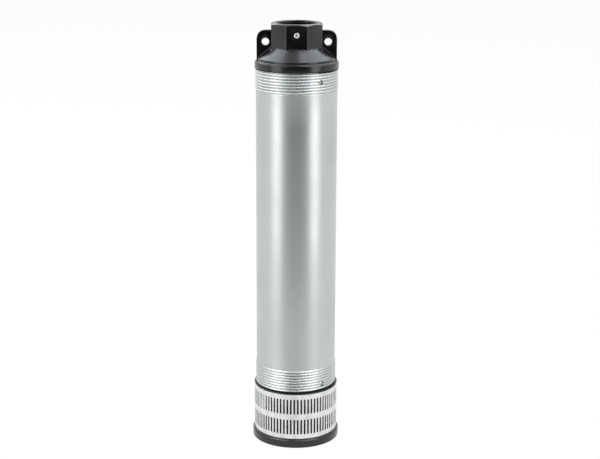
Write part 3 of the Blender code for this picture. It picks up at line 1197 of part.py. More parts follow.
def main():
    """Build the pump from the floor up."""
    clear_scene()
    satin_steel = finish("satin_steel", (0.60, 0.61, 0.60), 0.35, 1.0)
    bright_steel = finish("bright_steel", (0.72, 0.72, 0.71), 0.28, 1.0)
    black_plastic = finish("black_plastic", (0.018, 0.018, 0.022), 0.38, 0.0)
    grey_plastic = finish("grey_plastic", (0.16, 0.17, 0.18), 0.5, 0.0)
    resin = finish("impeller_resin", (0.70, 0.68, 0.60), 0.45, 0.0)
    rubber = finish("black_rubber", (0.02, 0.02, 0.02), 0.8, 0.0)
    brass = finish("brass", (0.62, 0.45, 0.18), 0.35, 1.0)
    cast_metal = finish("cast_aluminium", (0.50, 0.50, 0.50), 0.55, 1.0)
    iron = finish("lamination_steel", (0.28, 0.28, 0.29), 0.5, 1.0)
    copper = finish("enamelled_copper", (0.55, 0.22, 0.08), 0.4, 1.0)
    ceramic = finish("ceramic", (0.85, 0.83, 0.78), 0.25, 0.0)
    carbon = finish("carbon", (0.03, 0.03, 0.03), 0.4, 0.0)
    polymer = finish("white_polymer", (0.75, 0.75, 0.73), 0.4, 0.0)

    base_cap(black_plastic)
    base_screws(bright_steel)
    strainer(bright_steel)
    suction_cover(black_plastic)
    gasket("suction_gasket", FLANGE_TOP + SEAT_GAP, rubber)
    housing_tube(satin_steel)
    lock_screw("lower_lock_screw", LOWER_LOCK_ANGLE, TUBE_LOW + LOWER_LOCK_RISE, bright_steel)
    lock_screw("upper_lock_screw", UPPER_LOCK_ANGLE, TUBE_TOP - UPPER_LOCK_DROP, bright_steel)
    turning = stages(grey_plastic, resin)
    discharge_bowl(grey_plastic)
    pump_bush(rubber)
    turning.append(shaft(bright_steel))
    turning.append(rotor_core(iron))
    turning += impeller_fastening(bright_steel, brass)
    turning += shaft_seal(bright_steel, ceramic, carbon)
    hang_on("rotor_axis", turning)
    lower_bracket(cast_metal)
    bearing("lower_bearing", BEARING_LOW, bright_steel)
    stator(bright_steel, iron, copper)
    bearing("upper_bearing", UPPER_BRACKET_LOW, bright_steel)
    upper_bracket(cast_metal)
    capacitor(polymer)
    motor_lid(cast_metal)
    clamp_spider(grey_plastic)
    gasket("head_gasket", TUBE_TOP + SEAT_GAP, rubber)
    outlet_head(black_plastic)
    port_screw(bright_steel)
    cable_gland(black_plastic, rubber)
    valve_seat(brass)
    hang_on("valve_axis", [valve_poppet(polymer)] + valve_trim(rubber, bright_steel))


main()
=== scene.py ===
"""Borehole submersible pump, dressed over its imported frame.

Sizes are written in millimetres and turned to metres by MM. The pump stands on z = 0 with its
axis on z; the front, with the port's screw, looks along -y, and the rope ears lie along x.
"""
import json
import logging
import math
from dataclasses import dataclass, field
from enum import Enum

import bpy
from mathutils import Matrix, Vector


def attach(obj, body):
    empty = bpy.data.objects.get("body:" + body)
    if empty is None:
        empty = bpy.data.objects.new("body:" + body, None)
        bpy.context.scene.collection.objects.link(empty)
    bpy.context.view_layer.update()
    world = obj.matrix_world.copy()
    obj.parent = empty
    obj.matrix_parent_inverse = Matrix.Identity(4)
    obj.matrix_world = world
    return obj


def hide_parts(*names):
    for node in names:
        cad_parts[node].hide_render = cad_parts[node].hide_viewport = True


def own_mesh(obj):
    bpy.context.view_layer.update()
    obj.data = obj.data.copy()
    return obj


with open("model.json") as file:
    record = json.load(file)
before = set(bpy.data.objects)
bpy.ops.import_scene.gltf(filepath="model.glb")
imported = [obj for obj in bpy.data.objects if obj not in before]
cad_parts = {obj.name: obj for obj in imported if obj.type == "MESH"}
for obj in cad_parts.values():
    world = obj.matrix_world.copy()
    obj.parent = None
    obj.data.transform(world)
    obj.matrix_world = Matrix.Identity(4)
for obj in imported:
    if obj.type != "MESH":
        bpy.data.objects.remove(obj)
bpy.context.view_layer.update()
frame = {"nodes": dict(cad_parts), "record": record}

MM = 0.001
# vertices closer than this, in millimetres, are one
WELD = 0.003
WHITE = (1.0, 1.0, 1.0, 1.0)
LOG = logging.getLogger("pump")

Outline = list[tuple[float, float]]
Piece = bpy.types.Object


# Colours and materials


def linear(code: str) -> tuple[float, float, float, float]:
    """Turn an sRGB hex colour to linear values.

    Args:
        code: six hex digits with a leading hash.

    Returns:
        Red, green and blue as linear values, and an alpha of one.
    """
    channels = [int(code[start:start + 2], 16) / 255 for start in (1, 3, 5)]
    red, green, blue = [
        value / 12.92 if value <= 0.04045 else ((value + 0.055) / 1.055) ** 2.4 for value in channels
    ]
    return (red, green, blue, 1.0)


def add_node(
    tree: bpy.types.NodeTree, kind: str, settings: dict | None = None, links: dict | None = None,
) -> bpy.types.Node:
    """Add a node with its settings and links.

    Args:
        tree: the material's or world's node tree.
        kind: the node's type name.
        settings: values by input name or index, or by the node's own property name.
        links: output sockets by input name or index.

    Returns:
        The new node.
    """
    node = tree.nodes.new(kind)
    for name, value in (settings or {}).items():
        if isinstance(name, int) or name in node.inputs:
            node.inputs[name].default_value = value
        else:
            setattr(node, name, value)
    for name, source in (links or {}).items():
        tree.links.new(source, node.inputs[name])
    return node


class Texture(Enum):
    """What the making of a surface leaves on it."""

    GRAINED = "grained"
    DRAWN = "drawn"
    TURNED = "turned"
    LAMINATED = "laminated"
    WOUND = "wound"


@dataclass(frozen=True)
class Finish:
    """One real surface: its colours, its gloss and the texture that its making left."""

    name: str
    colour: str
    tint: str
    roughness: float
    metallic: float = 0.0
    texture: Texture = Texture.GRAINED
    pitch: float = 0.6
    relief: float = 0.02
    patch: float = 28.0
    drift: float = 0.06
    specular: float = 0.5
    ior: float = 1.5
    coat: float = 0.0

    def height(self, tree: bpy.types.NodeTree, place: bpy.types.NodeSocket) -> bpy.types.NodeSocket:
        """Add the pattern that raises the surface.

        Args:
            tree: the material's node tree.
            place: the object's own coordinates.

        Returns:
            The pattern's height from 0 to 1.
        """
        per_metre = 1.0 / (self.pitch * MM)
        if self.texture is Texture.DRAWN:
            along = add_node(tree, "ShaderNodeMapping", {"Scale": (1.0, 1.0, 0.02)}, {"Vector": place})
            streaks = add_node(
                tree, "ShaderNodeTexNoise", {"Scale": per_metre, "Detail": 3.0, "Roughness": 0.6},
                {"Vector": along.outputs["Vector"]},
            )
            return streaks.outputs["Fac"]
        if self.texture in (Texture.TURNED, Texture.LAMINATED):
            # a wave's bands repeat every 0.314 / scale
            waves = add_node(
                tree, "ShaderNodeTexWave",
                {
                    "wave_type": "RINGS" if self.texture is Texture.TURNED else "BANDS",
                    "rings_direction": "Z", "bands_direction": "Z", "Scale": 0.314 * per_metre,
                    "Distortion": 0.4, "Detail": 2.0, "Detail Scale": 1.5,
                },
                {"Vector": place},
            )
            return waves.outputs["Fac"]
        if self.texture is Texture.WOUND:
            tilt = add_node(tree, "ShaderNodeMapping", {"Scale": (0.12, 0.12, 1.0)}, {"Vector": place})
            strands = add_node(
                tree, "ShaderNodeTexVoronoi", {"feature": "SMOOTH_F1", "Scale": per_metre},
                {"Vector": tilt.outputs["Vector"]},
            )
            return strands.outputs["Distance"]
        grain = add_node(
            tree, "ShaderNodeTexNoise", {"Scale": per_metre, "Detail": 4.0, "Roughness": 0.55},
            {"Vector": place},
        )
        return grain.outputs["Fac"]

    def build(self) -> bpy.types.Material:
        """Make the material.

        Returns:
            The material, named after the finish.
        """
        made = bpy.data.materials.new(self.name)
        made.use_nodes = True
        tree = made.node_tree
        shader = tree.nodes["Principled BSDF"]
        place = add_node(tree, "ShaderNodeTexCoord").outputs["Object"]
        patches = add_node(
            tree, "ShaderNodeTexNoise", {"Scale": 1.0 / (self.patch * MM), "Detail": 3.0}, {"Vector": place},
        ).outputs["Fac"]
        spread = add_node(
            tree, "ShaderNodeMapRange", {"From Min": 0.35, "From Max": 0.65}, {"Value": patches},
        ).outputs["Result"]
        colour = add_node(
            tree, "ShaderNodeMix", {"data_type": "RGBA", 6: linear(self.colour), 7: linear(self.tint)},
            {0: spread},
        )
        height = self.height(tree, place)
        both = add_node(tree, "ShaderNodeMath", {"operation": "ADD"}, {0: height, 1: patches})
        gloss = add_node(
            tree, "ShaderNodeMapRange",
            {
                "From Min": 0.7, "From Max": 1.3,
                "To Min": max(0.02, self.roughness - self.drift), "To Max": self.roughness + self.drift,
            },
            {"Value": both.outputs[0]},
        )
        bump = add_node(
            tree, "ShaderNodeBump", {"Strength": 1.0, "Distance": self.relief * MM}, {"Height": height},
        )
        tree.links.new(colour.outputs[2], shader.inputs["Base Color"])
        tree.links.new(gloss.outputs["Result"], shader.inputs["Roughness"])
        tree.links.new(bump.outputs["Normal"], shader.inputs["Normal"])
        shader.inputs["Metallic"].default_value = self.metallic
        if self.metallic < 0.5:
            shader.inputs["IOR"].default_value = self.ior
            shader.inputs["Specular IOR Level"].default_value = self.specular
        shader.inputs["Coat Weight"].default_value = self.coat
        return made


class Surface(Enum):
    """Every finish of the pump."""

    # polyamide filled with glass, injection moulded: near black, a soft sheen over a fine sandy skin
    BLACK_PLASTIC = Finish(
        "moulded_black_polyamide", "#08080a", "#0c0c10", 0.24, pitch=0.55, relief=0.02, ior=1.55,
    )
    # stainless sheet, welded to a tube and satin polished along its length: even, slightly green grey
    SATIN_STEEL = Finish(
        "satin_stainless_tube", "#c6c9c7", "#bfc3c1", 0.36, 1.0, Texture.DRAWN, 0.5, 0.004, 60.0, 0.04,
    )
    # cold-rolled stainless sheet, pierced and tumbled: bright, with a sparkling coarse grain
    PIERCED_STEEL = Finish(
        "tumbled_stainless_sheet", "#e9ebe9", "#d6d8d6", 0.30, 1.0, pitch=0.8, relief=0.05, patch=7.0,
    )
    # stainless fasteners, cold headed and turned
    TURNED_STEEL = Finish(
        "turned_stainless", "#d3d3d1", "#c2c2c0", 0.22, 1.0, Texture.TURNED, 0.35, 0.01, 12.0,
    )
    # zinc plating on a small socket screw, passivated white: chalky, half metal and half oxide
    ZINC = Finish("white_passivated_zinc", "#f2f2ee", "#e2e3e0", 0.45, 0.4, pitch=0.4, relief=0.01, patch=6.0)
    # stainless sheet of the motor's can and bearings, drawn bright
    DRAWN_STEEL = Finish("drawn_stainless_can", "#cbcbc8", "#bcbcba", 0.25, 1.0, Texture.DRAWN, 0.5, 0.006)
    # nitrile rubber, compression moulded: flat black with a dusty bloom
    RUBBER = Finish("nitrile_rubber", "#151515", "#1d1d1c", 0.72, pitch=0.4, relief=0.03, specular=0.35)
    # cast brass, turned on its seats
    BRASS = Finish("turned_brass", "#c79d52", "#b58a43", 0.28, 1.0, Texture.TURNED, 0.5, 0.01, 14.0)
    # die-cast aluminium, shot blasted
    CAST_ALUMINIUM = Finish("blasted_cast_aluminium", "#b4b5b6", "#a2a3a5", 0.52, 1.0, pitch=0.9, relief=0.08)
    # silicon steel sheets in a stack, varnished: dark grey, one line for each sheet
    LAMINATIONS = Finish(
        "varnished_lamination_stack", "#6d6e70", "#5b5c5e", 0.45, 1.0, Texture.LAMINATED, 1.0, 0.05,
    )
    # copper wire under red-brown enamel, laid in bundles and dipped in varnish
    COPPER_WIRE = Finish(
        "enamelled_copper_wire", "#a4552a", "#7c3b1d", 0.35, 1.0, Texture.WOUND, 1.1, 0.25, 10.0,
    )
    # alumina, sintered and lapped
    CERAMIC = Finish("lapped_alumina", "#e6e1d6", "#ddd7ca", 0.20, pitch=0.3, relief=0.004, specular=0.6)
    # resin-bonded carbon, lapped
    CARBON = Finish("lapped_carbon", "#1d1d1f", "#26262a", 0.36, pitch=0.3, relief=0.01)
    # acetal, moulded: milky white with a waxy shine
    WHITE_ACETAL = Finish("moulded_white_acetal", "#dedfda", "#d4d5cf", 0.32, pitch=0.7, relief=0.015)
    # grey noryl of the casings, moulded
    GREY_PLASTIC = Finish("moulded_grey_casing_resin", "#5c6064", "#53565a", 0.48, pitch=0.6, relief=0.03)
    # natural-coloured impeller resin, moulded: ivory, slightly translucent looking
    IMPELLER_RESIN = Finish("moulded_natural_resin", "#d8d2bf", "#cbc4ae", 0.40, pitch=0.6, relief=0.02)

    def material(self) -> bpy.types.Material:
        """Give the finish's material, made once."""
        return bpy.data.materials.get(self.value.name) or self.value.build()


# Modelling by operators


def deselect() -> None:
    """Leave edit mode and deselect everything."""
    if bpy.context.mode != "OBJECT":
        bpy.ops.object.mode_set(mode="OBJECT")
    bpy.ops.object.select_all(action="DESELECT")


def focus(piece: Piece) -> None:
    """Make one piece the only selected and the active one.

    Args:
        piece: the piece.
    """
    deselect()
    piece.select_set(True)
    bpy.context.view_layer.objects.active = piece


def edit_all(piece: Piece) -> None:
    """Open a piece in edit mode with all of it selected.

    Args:
        piece: the piece.
    """
    focus(piece)
    bpy.ops.object.mode_set(mode="EDIT")
    bpy.ops.mesh.select_all(action="SELECT")


def eased(corners: list[tuple[float, float, float]], steps: int = 4, closed: bool = True) -> Outline:
    """Round the corners of an outline.

    Args:
        corners: across, up and the rounding's reach of each corner, in millimetres.
        steps: chords in each rounding.
        closed: whether the last corner leads back to the first.

    Returns:
        The outline with every rounded corner replaced by a short curve.
    """
    points: Outline = []
    count = len(corners)
    for index, (across, up, reach) in enumerate(corners):
        inner = closed or 0 < index < count - 1
        if reach <= 0.0 or not inner:
            points.append((across, up))
            continue
        here = Vector((across, up))
        before = Vector(corners[index - 1][:2]) - here
        after = Vector(corners[(index + 1) % count][:2]) - here
        start = here + before.normalized() * min(reach, before.length * 0.49)
        end = here + after.normalized() * min(reach, after.length * 0.49)
        for step in range(steps + 1):
            share = step / steps
            spot = start * (1 - share) ** 2 + here * 2 * share * (1 - share) + end * share ** 2
            points.append((spot.x, spot.y))
    return points


def chain(name: str, outline: Outline, closed: bool) -> Piece:
    """Draw an outline in the x-z plane by extruding one vertex along it, and stay in edit mode.

    Args:
        name: the new piece's name.
        outline: across and up of each point, in millimetres.
        closed: whether the last point is joined to the first.

    Returns:
        The piece, all selected.
    """
    deselect()
    first = outline[0]
    bpy.ops.mesh.primitive_plane_add(size=MM, location=(first[0] * MM, 0.0, first[1] * MM))
    piece = bpy.context.active_object
    piece.name = name
    bpy.ops.object.transform_apply(location=True, rotation=True, scale=True)
    bpy.ops.object.mode_set(mode="EDIT")
    bpy.ops.mesh.select_all(action="SELECT")
    bpy.ops.mesh.merge(type="CENTER")
    path = outline + [first] if closed else outline
    for (x0, z0), (x1, z1) in zip(path, path[1:]):
        step = ((x1 - x0) * MM, 0.0, (z1 - z0) * MM)
        bpy.ops.mesh.extrude_region_move(TRANSFORM_OT_translate={"value": step})
    bpy.ops.mesh.select_all(action="SELECT")
    bpy.ops.mesh.remove_doubles(threshold=WELD * MM)
    return piece


def turn(name: str, outline: Outline, steps: int = 96, closed: bool = True) -> Piece:
    """Spin an outline round the pump's axis.

    Args:
        name: the new piece's name.
        outline: radius and height of each point, in millimetres.
        steps: faces round the axis.
        closed: whether the outline is a ring's section; an open one starts and ends on the axis.

    Returns:
        The closed, outward-facing piece.
    """
    piece = chain(name, outline, closed)
    bpy.ops.mesh.spin(steps=steps, angle=2 * math.pi, center=(0.0, 0.0, 0.0), axis=(0.0, 0.0, 1.0))
    bpy.ops.mesh.select_all(action="SELECT")
    bpy.ops.mesh.remove_doubles(threshold=WELD * MM)
    bpy.ops.mesh.normals_make_consistent(inside=False)
    bpy.ops.object.mode_set(mode="OBJECT")
    return piece


def plate(name: str, outline: Outline, thickness: float) -> Piece:
    """Fill an outline in the x-z plane and extrude it to both sides of y = 0.

    Args:
        name: the new piece's name.
        outline: across and up of each point, in millimetres.
        thickness: the plate's thickness, in millimetres.

    Returns:
        The closed plate.
    """
    piece = chain(name, outline, True)
    bpy.ops.mesh.edge_face_add()
    bpy.ops.transform.translate(value=(0.0, -thickness / 2 * MM, 0.0))
    bpy.ops.mesh.extrude_region_move(TRANSFORM_OT_translate={"value": (0.0, thickness * MM, 0.0)})
    bpy.ops.mesh.select_all(action="SELECT")
    bpy.ops.mesh.normals_make_consistent(inside=False)
    bpy.ops.object.mode_set(mode="OBJECT")
    return piece


def bar(
    name: str, radius: float, low: float, high: float, spot: tuple[float, float] = (0.0, 0.0),
    sides: int = 32, turned: float = 0.0,
) -> Piece:
    """Add an upright bar as a tool or a start.

    Args:
        name: the new piece's name.
        radius: corner radius, in millimetres.
        low: lower end, in millimetres.
        high: upper end, in millimetres.
        spot: x and y of its axis, in millimetres.
        sides: number of sides.
        turned: turn of its first corner about its axis, in degrees.

    Returns:
        The bar, with its place in its mesh.
    """
    deselect()
    bpy.ops.mesh.primitive_cylinder_add(
        vertices=sides, radius=radius * MM, depth=(high - low) * MM,
        location=(spot[0] * MM, spot[1] * MM, (low + high) / 2 * MM),
        rotation=(0.0, 0.0, math.radians(turned)),
    )
    piece = bpy.context.active_object
    piece.name = name
    bpy.ops.object.transform_apply(location=True, rotation=True, scale=True)
    return piece


def slab(
    name: str, reach: tuple[float, float], thickness: float, levels: tuple[float, float], angle: float,
) -> Piece:
    """Add an upright flat bar that runs out from the axis.

    Args:
        name: the new piece's name.
        reach: its near and far end's distance from the axis, in millimetres.
        thickness: its thickness, in millimetres.
        levels: its lower and upper level, in millimetres.
        angle: its direction from +x, in degrees.

    Returns:
        The bar, with its place in its mesh.
    """
    deselect()
    bpy.ops.mesh.primitive_cube_add(size=MM)
    piece = bpy.context.active_object
    piece.name = name
    stretch = Matrix.Diagonal((reach[1] - reach[0], thickness, levels[1] - levels[0], 1.0))
    middle = Matrix.Translation((sum(reach) / 2 * MM, 0.0, sum(levels) / 2 * MM))
    return placed(piece, Matrix.Rotation(math.radians(angle), 4, "Z") @ middle @ stretch)


def placed(piece: Piece, matrix: Matrix) -> Piece:
    """Move a piece's mesh, not its object.

    Args:
        piece: the piece.
        matrix: the move, in metres.

    Returns:
        The same piece.
    """
    piece.data.transform(matrix)
    piece.data.update()
    return piece


def pointing(piece: Piece, angle: float, height: float) -> Piece:
    """Lay an upright tool down so that it points away from the axis.

    Args:
        piece: a tool that stands on the origin; its z becomes the distance from the axis.
        angle: direction seen from above, in degrees from +x.
        height: height of its new axis, in millimetres.

    Returns:
        The same piece.
    """
    lay = Matrix.Rotation(math.radians(90.0), 4, "Y")
    swing = Matrix.Rotation(math.radians(angle), 4, "Z")
    return placed(piece, Matrix.Translation((0.0, 0.0, height * MM)) @ swing @ lay)


def combine(piece: Piece, tool: Piece, operation: str) -> Piece:
    """Join, cut or intersect a piece with a tool, and remove the tool.

    Args:
        piece: the piece that stays.
        tool: the tool.
        operation: UNION, DIFFERENCE or INTERSECT.

    Returns:
        The same piece.
    """
    focus(piece)
    step = piece.modifiers.new("combine", "BOOLEAN")
    step.operation = operation
    step.solver = "EXACT"
    step.object = tool
    bpy.ops.object.modifier_apply(modifier=step.name)
    bpy.data.objects.remove(tool, do_unlink=True)
    return piece


def soften(piece: Piece, width: float, segments: int = 2, angle: float = 35.0) -> Piece:
    """Bevel the edges of a piece that are sharper than an angle.

    Args:
        piece: the piece.
        width: bevel width, in millimetres.
        segments: faces across the bevel.
        angle: least angle between faces, in degrees.

    Returns:
        The same piece.
    """
    focus(piece)
    step = piece.modifiers.new("soften", "BEVEL")
    step.width = width * MM
    step.segments = segments
    step.limit_method = "ANGLE"
    step.angle_limit = math.radians(angle)
    step.use_clamp_overlap = True
    bpy.ops.object.modifier_apply(modifier=step.name)
    return piece


def fill_corners(
    piece: Piece, width: float, levels: tuple[float, float], reach: float, angle: float = 25.0,
) -> Piece:
    """Bevel the inner corners where joined forms meet, as a mould's fillets do.

    Args:
        piece: the piece.
        width: bevel width, in millimetres.
        levels: lowest and highest level of the corners, in millimetres.
        reach: least distance of the corners from the axis, in millimetres.
        angle: least angle between faces, in degrees.

    Returns:
        The same piece.
    """
    deselect()
    mesh = piece.data
    centres = [face.center for face in mesh.polygons]
    normals = [face.normal for face in mesh.polygons]
    sides: dict[tuple[int, int], list[int]] = {}
    for face in mesh.polygons:
        for key in face.edge_keys:
            sides.setdefault(key, []).append(face.index)
    least = math.cos(math.radians(angle))
    for group in (mesh.vertices, mesh.edges, mesh.polygons):
        group.foreach_set("select", [False] * len(group))
    for edge in mesh.edges:
        spots = [mesh.vertices[index].co for index in edge.vertices]
        inside = all(
            levels[0] * MM < spot.z < levels[1] * MM and math.hypot(spot.x, spot.y) > reach * MM
            for spot in spots
        )
        one, two = sides[tuple(sorted(edge.vertices))]
        hollow = (centres[two] - centres[one]).dot(normals[one]) > 1e-7
        edge.select = inside and hollow and normals[one].dot(normals[two]) < least
    bpy.context.view_layer.objects.active = piece
    piece.select_set(True)
    bpy.ops.object.mode_set(mode="EDIT")
    bpy.ops.mesh.select_mode(type="EDGE")
    bpy.ops.mesh.bevel(offset=width * MM, segments=3, affect="EDGES", clamp_overlap=False)
    bpy.ops.mesh.select_mode(type="VERT")
    bpy.ops.object.mode_set(mode="OBJECT")
    return piece


def smooth(piece: Piece, angle: float = 30.0) -> Piece:
    """Shade a piece smooth where its faces meet at less than an angle.

    Args:
        piece: the piece.
        angle: greatest angle between faces that are shaded as one, in degrees.

    Returns:
        The same piece.
    """
    focus(piece)
    bpy.ops.object.shade_smooth_by_angle(angle=math.radians(angle))
    return piece


def cut_cross(
    screw: Piece, wing: float, share: float, levels: tuple[float, float], turned: float = 0.0,
) -> Piece:
    """Cut a cross recess into the end of an upright screw on the axis.

    Args:
        screw: the screw.
        wing: corner radius of each wing's cutter, in millimetres.
        share: the wing's thickness as a share of its width.
        levels: lower and upper end of the cutters, in millimetres.
        turned: turn of the cross, in degrees.

    Returns:
        The same screw.
    """
    squeeze = Matrix.Diagonal((1.0, share, 1.0, 1.0))
    for quarter in (0.0, 90.0):
        cutter = bar("wing", wing, *levels, sides=4, turned=45.0)
        placed(cutter, Matrix.Rotation(math.radians(quarter + turned), 4, "Z") @ squeeze)
        combine(screw, cutter, "DIFFERENCE")
    return screw


def mount(piece: Piece, surface: Surface, slot: str, body: str, *nodes: str) -> Piece:
    """Give a finished piece its material, body and the nodes that it stands for.

    Args:
        piece: the piece, with its place in its mesh.
        surface: its finish.
        slot: the record's material slot; not used.
        body: the body that it moves with.
        *nodes: the nodes that it replaces.

    Returns:
        The same piece.
    """
    piece.data.materials.clear()
    piece.data.materials.append(surface.material())
    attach(piece, body)
    if nodes:
        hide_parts(*nodes)
    LOG.info("%s: %d faces", piece.name, len(piece.data.polygons))
    return piece


# Sizes shared by several sub-assemblies


@dataclass(frozen=True)
class Levels:
    """Heights and radii that several sub-assemblies share, in millimetres."""

    cap_height: float = 10.2
    flange_low: float = 63.1
    flange_top: float = 64.2
    tube_low: float = 65.3
    tube_top: float = 424.4
    head_low: float = 425.5
    tube_radius: float = 44.7
    tube_bore: float = 43.4
    spigot_radius: float = 43.1
    strainer_radius: float = 47.1
    strainer_bore: float = 46.3
    post_circle: float = 36.0
    gland_axis: float = 35.71
    third_turns: tuple[float, ...] = (90.0, 210.0, 330.0)
    seat_gap: float = 0.3
    screw_gap: float = 0.3
    upper_lock: tuple[float, float] = (-55.0, 414.0)
    lower_lock: tuple[float, float] = (-49.0, 71.7)


LEVELS = Levels()


def ring_of(count: int, radius: float, start: float = 90.0) -> list[tuple[float, float]]:
    """Give evenly spaced spots round the axis, the first at an angle in degrees."""
    turns = [math.radians(start + 360.0 * index / count) for index in range(count)]
    return [(radius * math.cos(angle), radius * math.sin(angle)) for angle in turns]


# Sub-assemblies


@dataclass
class Housing:
    """Outer tube with a rolled thread at each end, its gaskets and its two lock screws."""

    crest: float = 45.45
    root: float = 44.15
    pitch: float = 3.175
    upper_band: float = 24.0
    lower_band: float = 26.0
    runout: float = 2.2
    # heights at which a root of the thread passes the front
    upper_root_line: float = 417.55
    lower_root_line: float = 83.87
    rings_per_turn: int = 12
    thread_fullness: float = 0.55
    facets: int = 144
    plain_rings: int = 8
    end_round: float = 0.25
    gasket_width: float = 2.3
    gasket_height: float = 0.5
    screw_head: float = 2.1
    screw_shank: float = 1.5
    flush: float = 44.8
    screw_hole: float = 2.8
    screw_length: float = 5.0
    wing: float = 1.2
    wing_share: float = 0.26
    wing_turn: float = 20.0

    def tube_outline(self) -> Outline:
        """Draw the tube's section, with close rings where the thread is rolled.

        Returns:
            Radius and height of each point, in millimetres.
        """
        step = self.pitch / self.rings_per_turn
        low, high = LEVELS.tube_low, LEVELS.tube_top
        heights = [low + self.end_round]
        while heights[-1] < low + self.lower_band:
            heights.append(heights[-1] + step)
        plain = high - self.upper_band
        between = self.plain_rings
        start = heights[-1]
        heights += [start + (plain - start) * index / between for index in range(1, between + 1)]
        while heights[-1] < high - self.end_round - step:
            heights.append(heights[-1] + step)
        heights.append(high - self.end_round)
        radius = LEVELS.tube_radius
        skin = [(radius, height) for height in heights]
        outer = [(radius - self.end_round, low)] + skin + [(radius - self.end_round, high)]
        bore = [
            (LEVELS.tube_bore, low + (high - low) * index / between) for index in range(between, -1, -1)
        ]
        return outer + bore

    def rolled(self, height: float, angle: float) -> float:
        """Give the tube's outer radius at a height and an angle round the axis.

        Args:
            height: height, in millimetres.
            angle: direction from +x, in radians.

        Returns:
            The radius, in millimetres.
        """
        upper = height > (LEVELS.tube_low + LEVELS.tube_top) / 2
        if upper:
            inward = height - (LEVELS.tube_top - self.upper_band)
        else:
            inward = LEVELS.tube_low + self.lower_band - height
        share = min(max(inward / self.runout, 0.0), 1.0)
        root_line = self.upper_root_line if upper else self.lower_root_line
        phase = (height - root_line) / self.pitch - (angle + math.pi / 2) / (2 * math.pi)
        wave = (0.5 - 0.5 * math.cos(2 * math.pi * phase)) ** self.thread_fullness
        thread = self.root + (self.crest - self.root) * wave
        return LEVELS.tube_radius + (thread - LEVELS.tube_radius) * share

    def tube(self) -> Piece:
        """Build the tube: spun, then its thread is pressed in as a right-hand helix.

        Returns:
            The tube, with a hole for each lock screw.
        """
        piece = turn("tube", self.tube_outline(), self.facets)
        middle = (LEVELS.tube_radius + LEVELS.tube_bore) / 2 * MM
        for vertex in piece.data.vertices:
            across = math.hypot(vertex.co.x, vertex.co.y)
            if across < middle:
                continue
            angle = math.atan2(vertex.co.y, vertex.co.x)
            inset = max(LEVELS.tube_radius - across / MM, 0.0)
            wanted = self.rolled(vertex.co.z / MM, angle) - inset
            vertex.co.x *= wanted * MM / across
            vertex.co.y *= wanted * MM / across
        for angle, height in (LEVELS.upper_lock, LEVELS.lower_lock):
            hole = bar("hole", self.screw_hole, LEVELS.tube_bore - 2, self.crest + 2, sides=32)
            combine(piece, pointing(hole, angle, height), "DIFFERENCE")
        return smooth(piece, 42.0)

    def gasket(self, name: str, low: float) -> Piece:
        """Build one gasket with rounded outer edges.

        Args:
            name: the gasket's name.
            low: level of its underside, in millimetres.

        Returns:
            The gasket.
        """
        inner, outer = LEVELS.tube_bore, LEVELS.tube_bore + self.gasket_width
        high = low + self.gasket_height
        corners = [(inner, low, 0.0), (outer, low, 0.2), (outer, high, 0.2), (inner, high, 0.0)]
        return smooth(turn(name, eased(corners), 128))

    def lock_screw(self, name: str, angle: float, height: float) -> Piece:
        """Build one lock screw with a bevelled head and a cross recess.

        Args:
            name: the screw's name.
            angle: its direction seen from above, in degrees from +x.
            height: height of its axis, in millimetres.

        Returns:
            The screw, lying in the tube's wall.
        """
        low = LEVELS.spigot_radius + LEVELS.seat_gap
        tip = low - self.screw_length
        face = self.flush
        corners = [
            (0.0, tip, 0.0), (self.screw_shank, tip, 0.3), (self.screw_shank, low, 0.0),
            (self.screw_head, low, 0.2), (self.screw_head, face - 0.5, 0.0),
            (self.screw_head - 0.5, face, 0.2), (0.0, face, 0.0),
        ]
        screw = turn(name, eased(corners, 3, False), 28, False)
        cut_cross(screw, self.wing, self.wing_share, (face - 1.0, face + 1.0), self.wing_turn)
        return smooth(pointing(screw, angle, height))

    def build(self) -> None:
        """Build and dress the housing."""
        mount(self.tube(), Surface.SATIN_STEEL, "satin_steel", "housing", "housing_tube")
        low = self.gasket("lower_ring_gasket", LEVELS.flange_top + LEVELS.seat_gap)
        mount(low, Surface.RUBBER, "black_rubber", "housing", "suction_gasket")
        high = self.gasket("upper_ring_gasket", LEVELS.tube_top + LEVELS.seat_gap)
        mount(high, Surface.RUBBER, "black_rubber", "housing", "head_gasket")
        for name, place in (("upper_lock_screw", LEVELS.upper_lock), ("lower_lock_screw", LEVELS.lower_lock)):
            screw = self.lock_screw(name + "_cross", *place)
            mount(screw, Surface.TURNED_STEEL, "bright_steel", "housing", name)


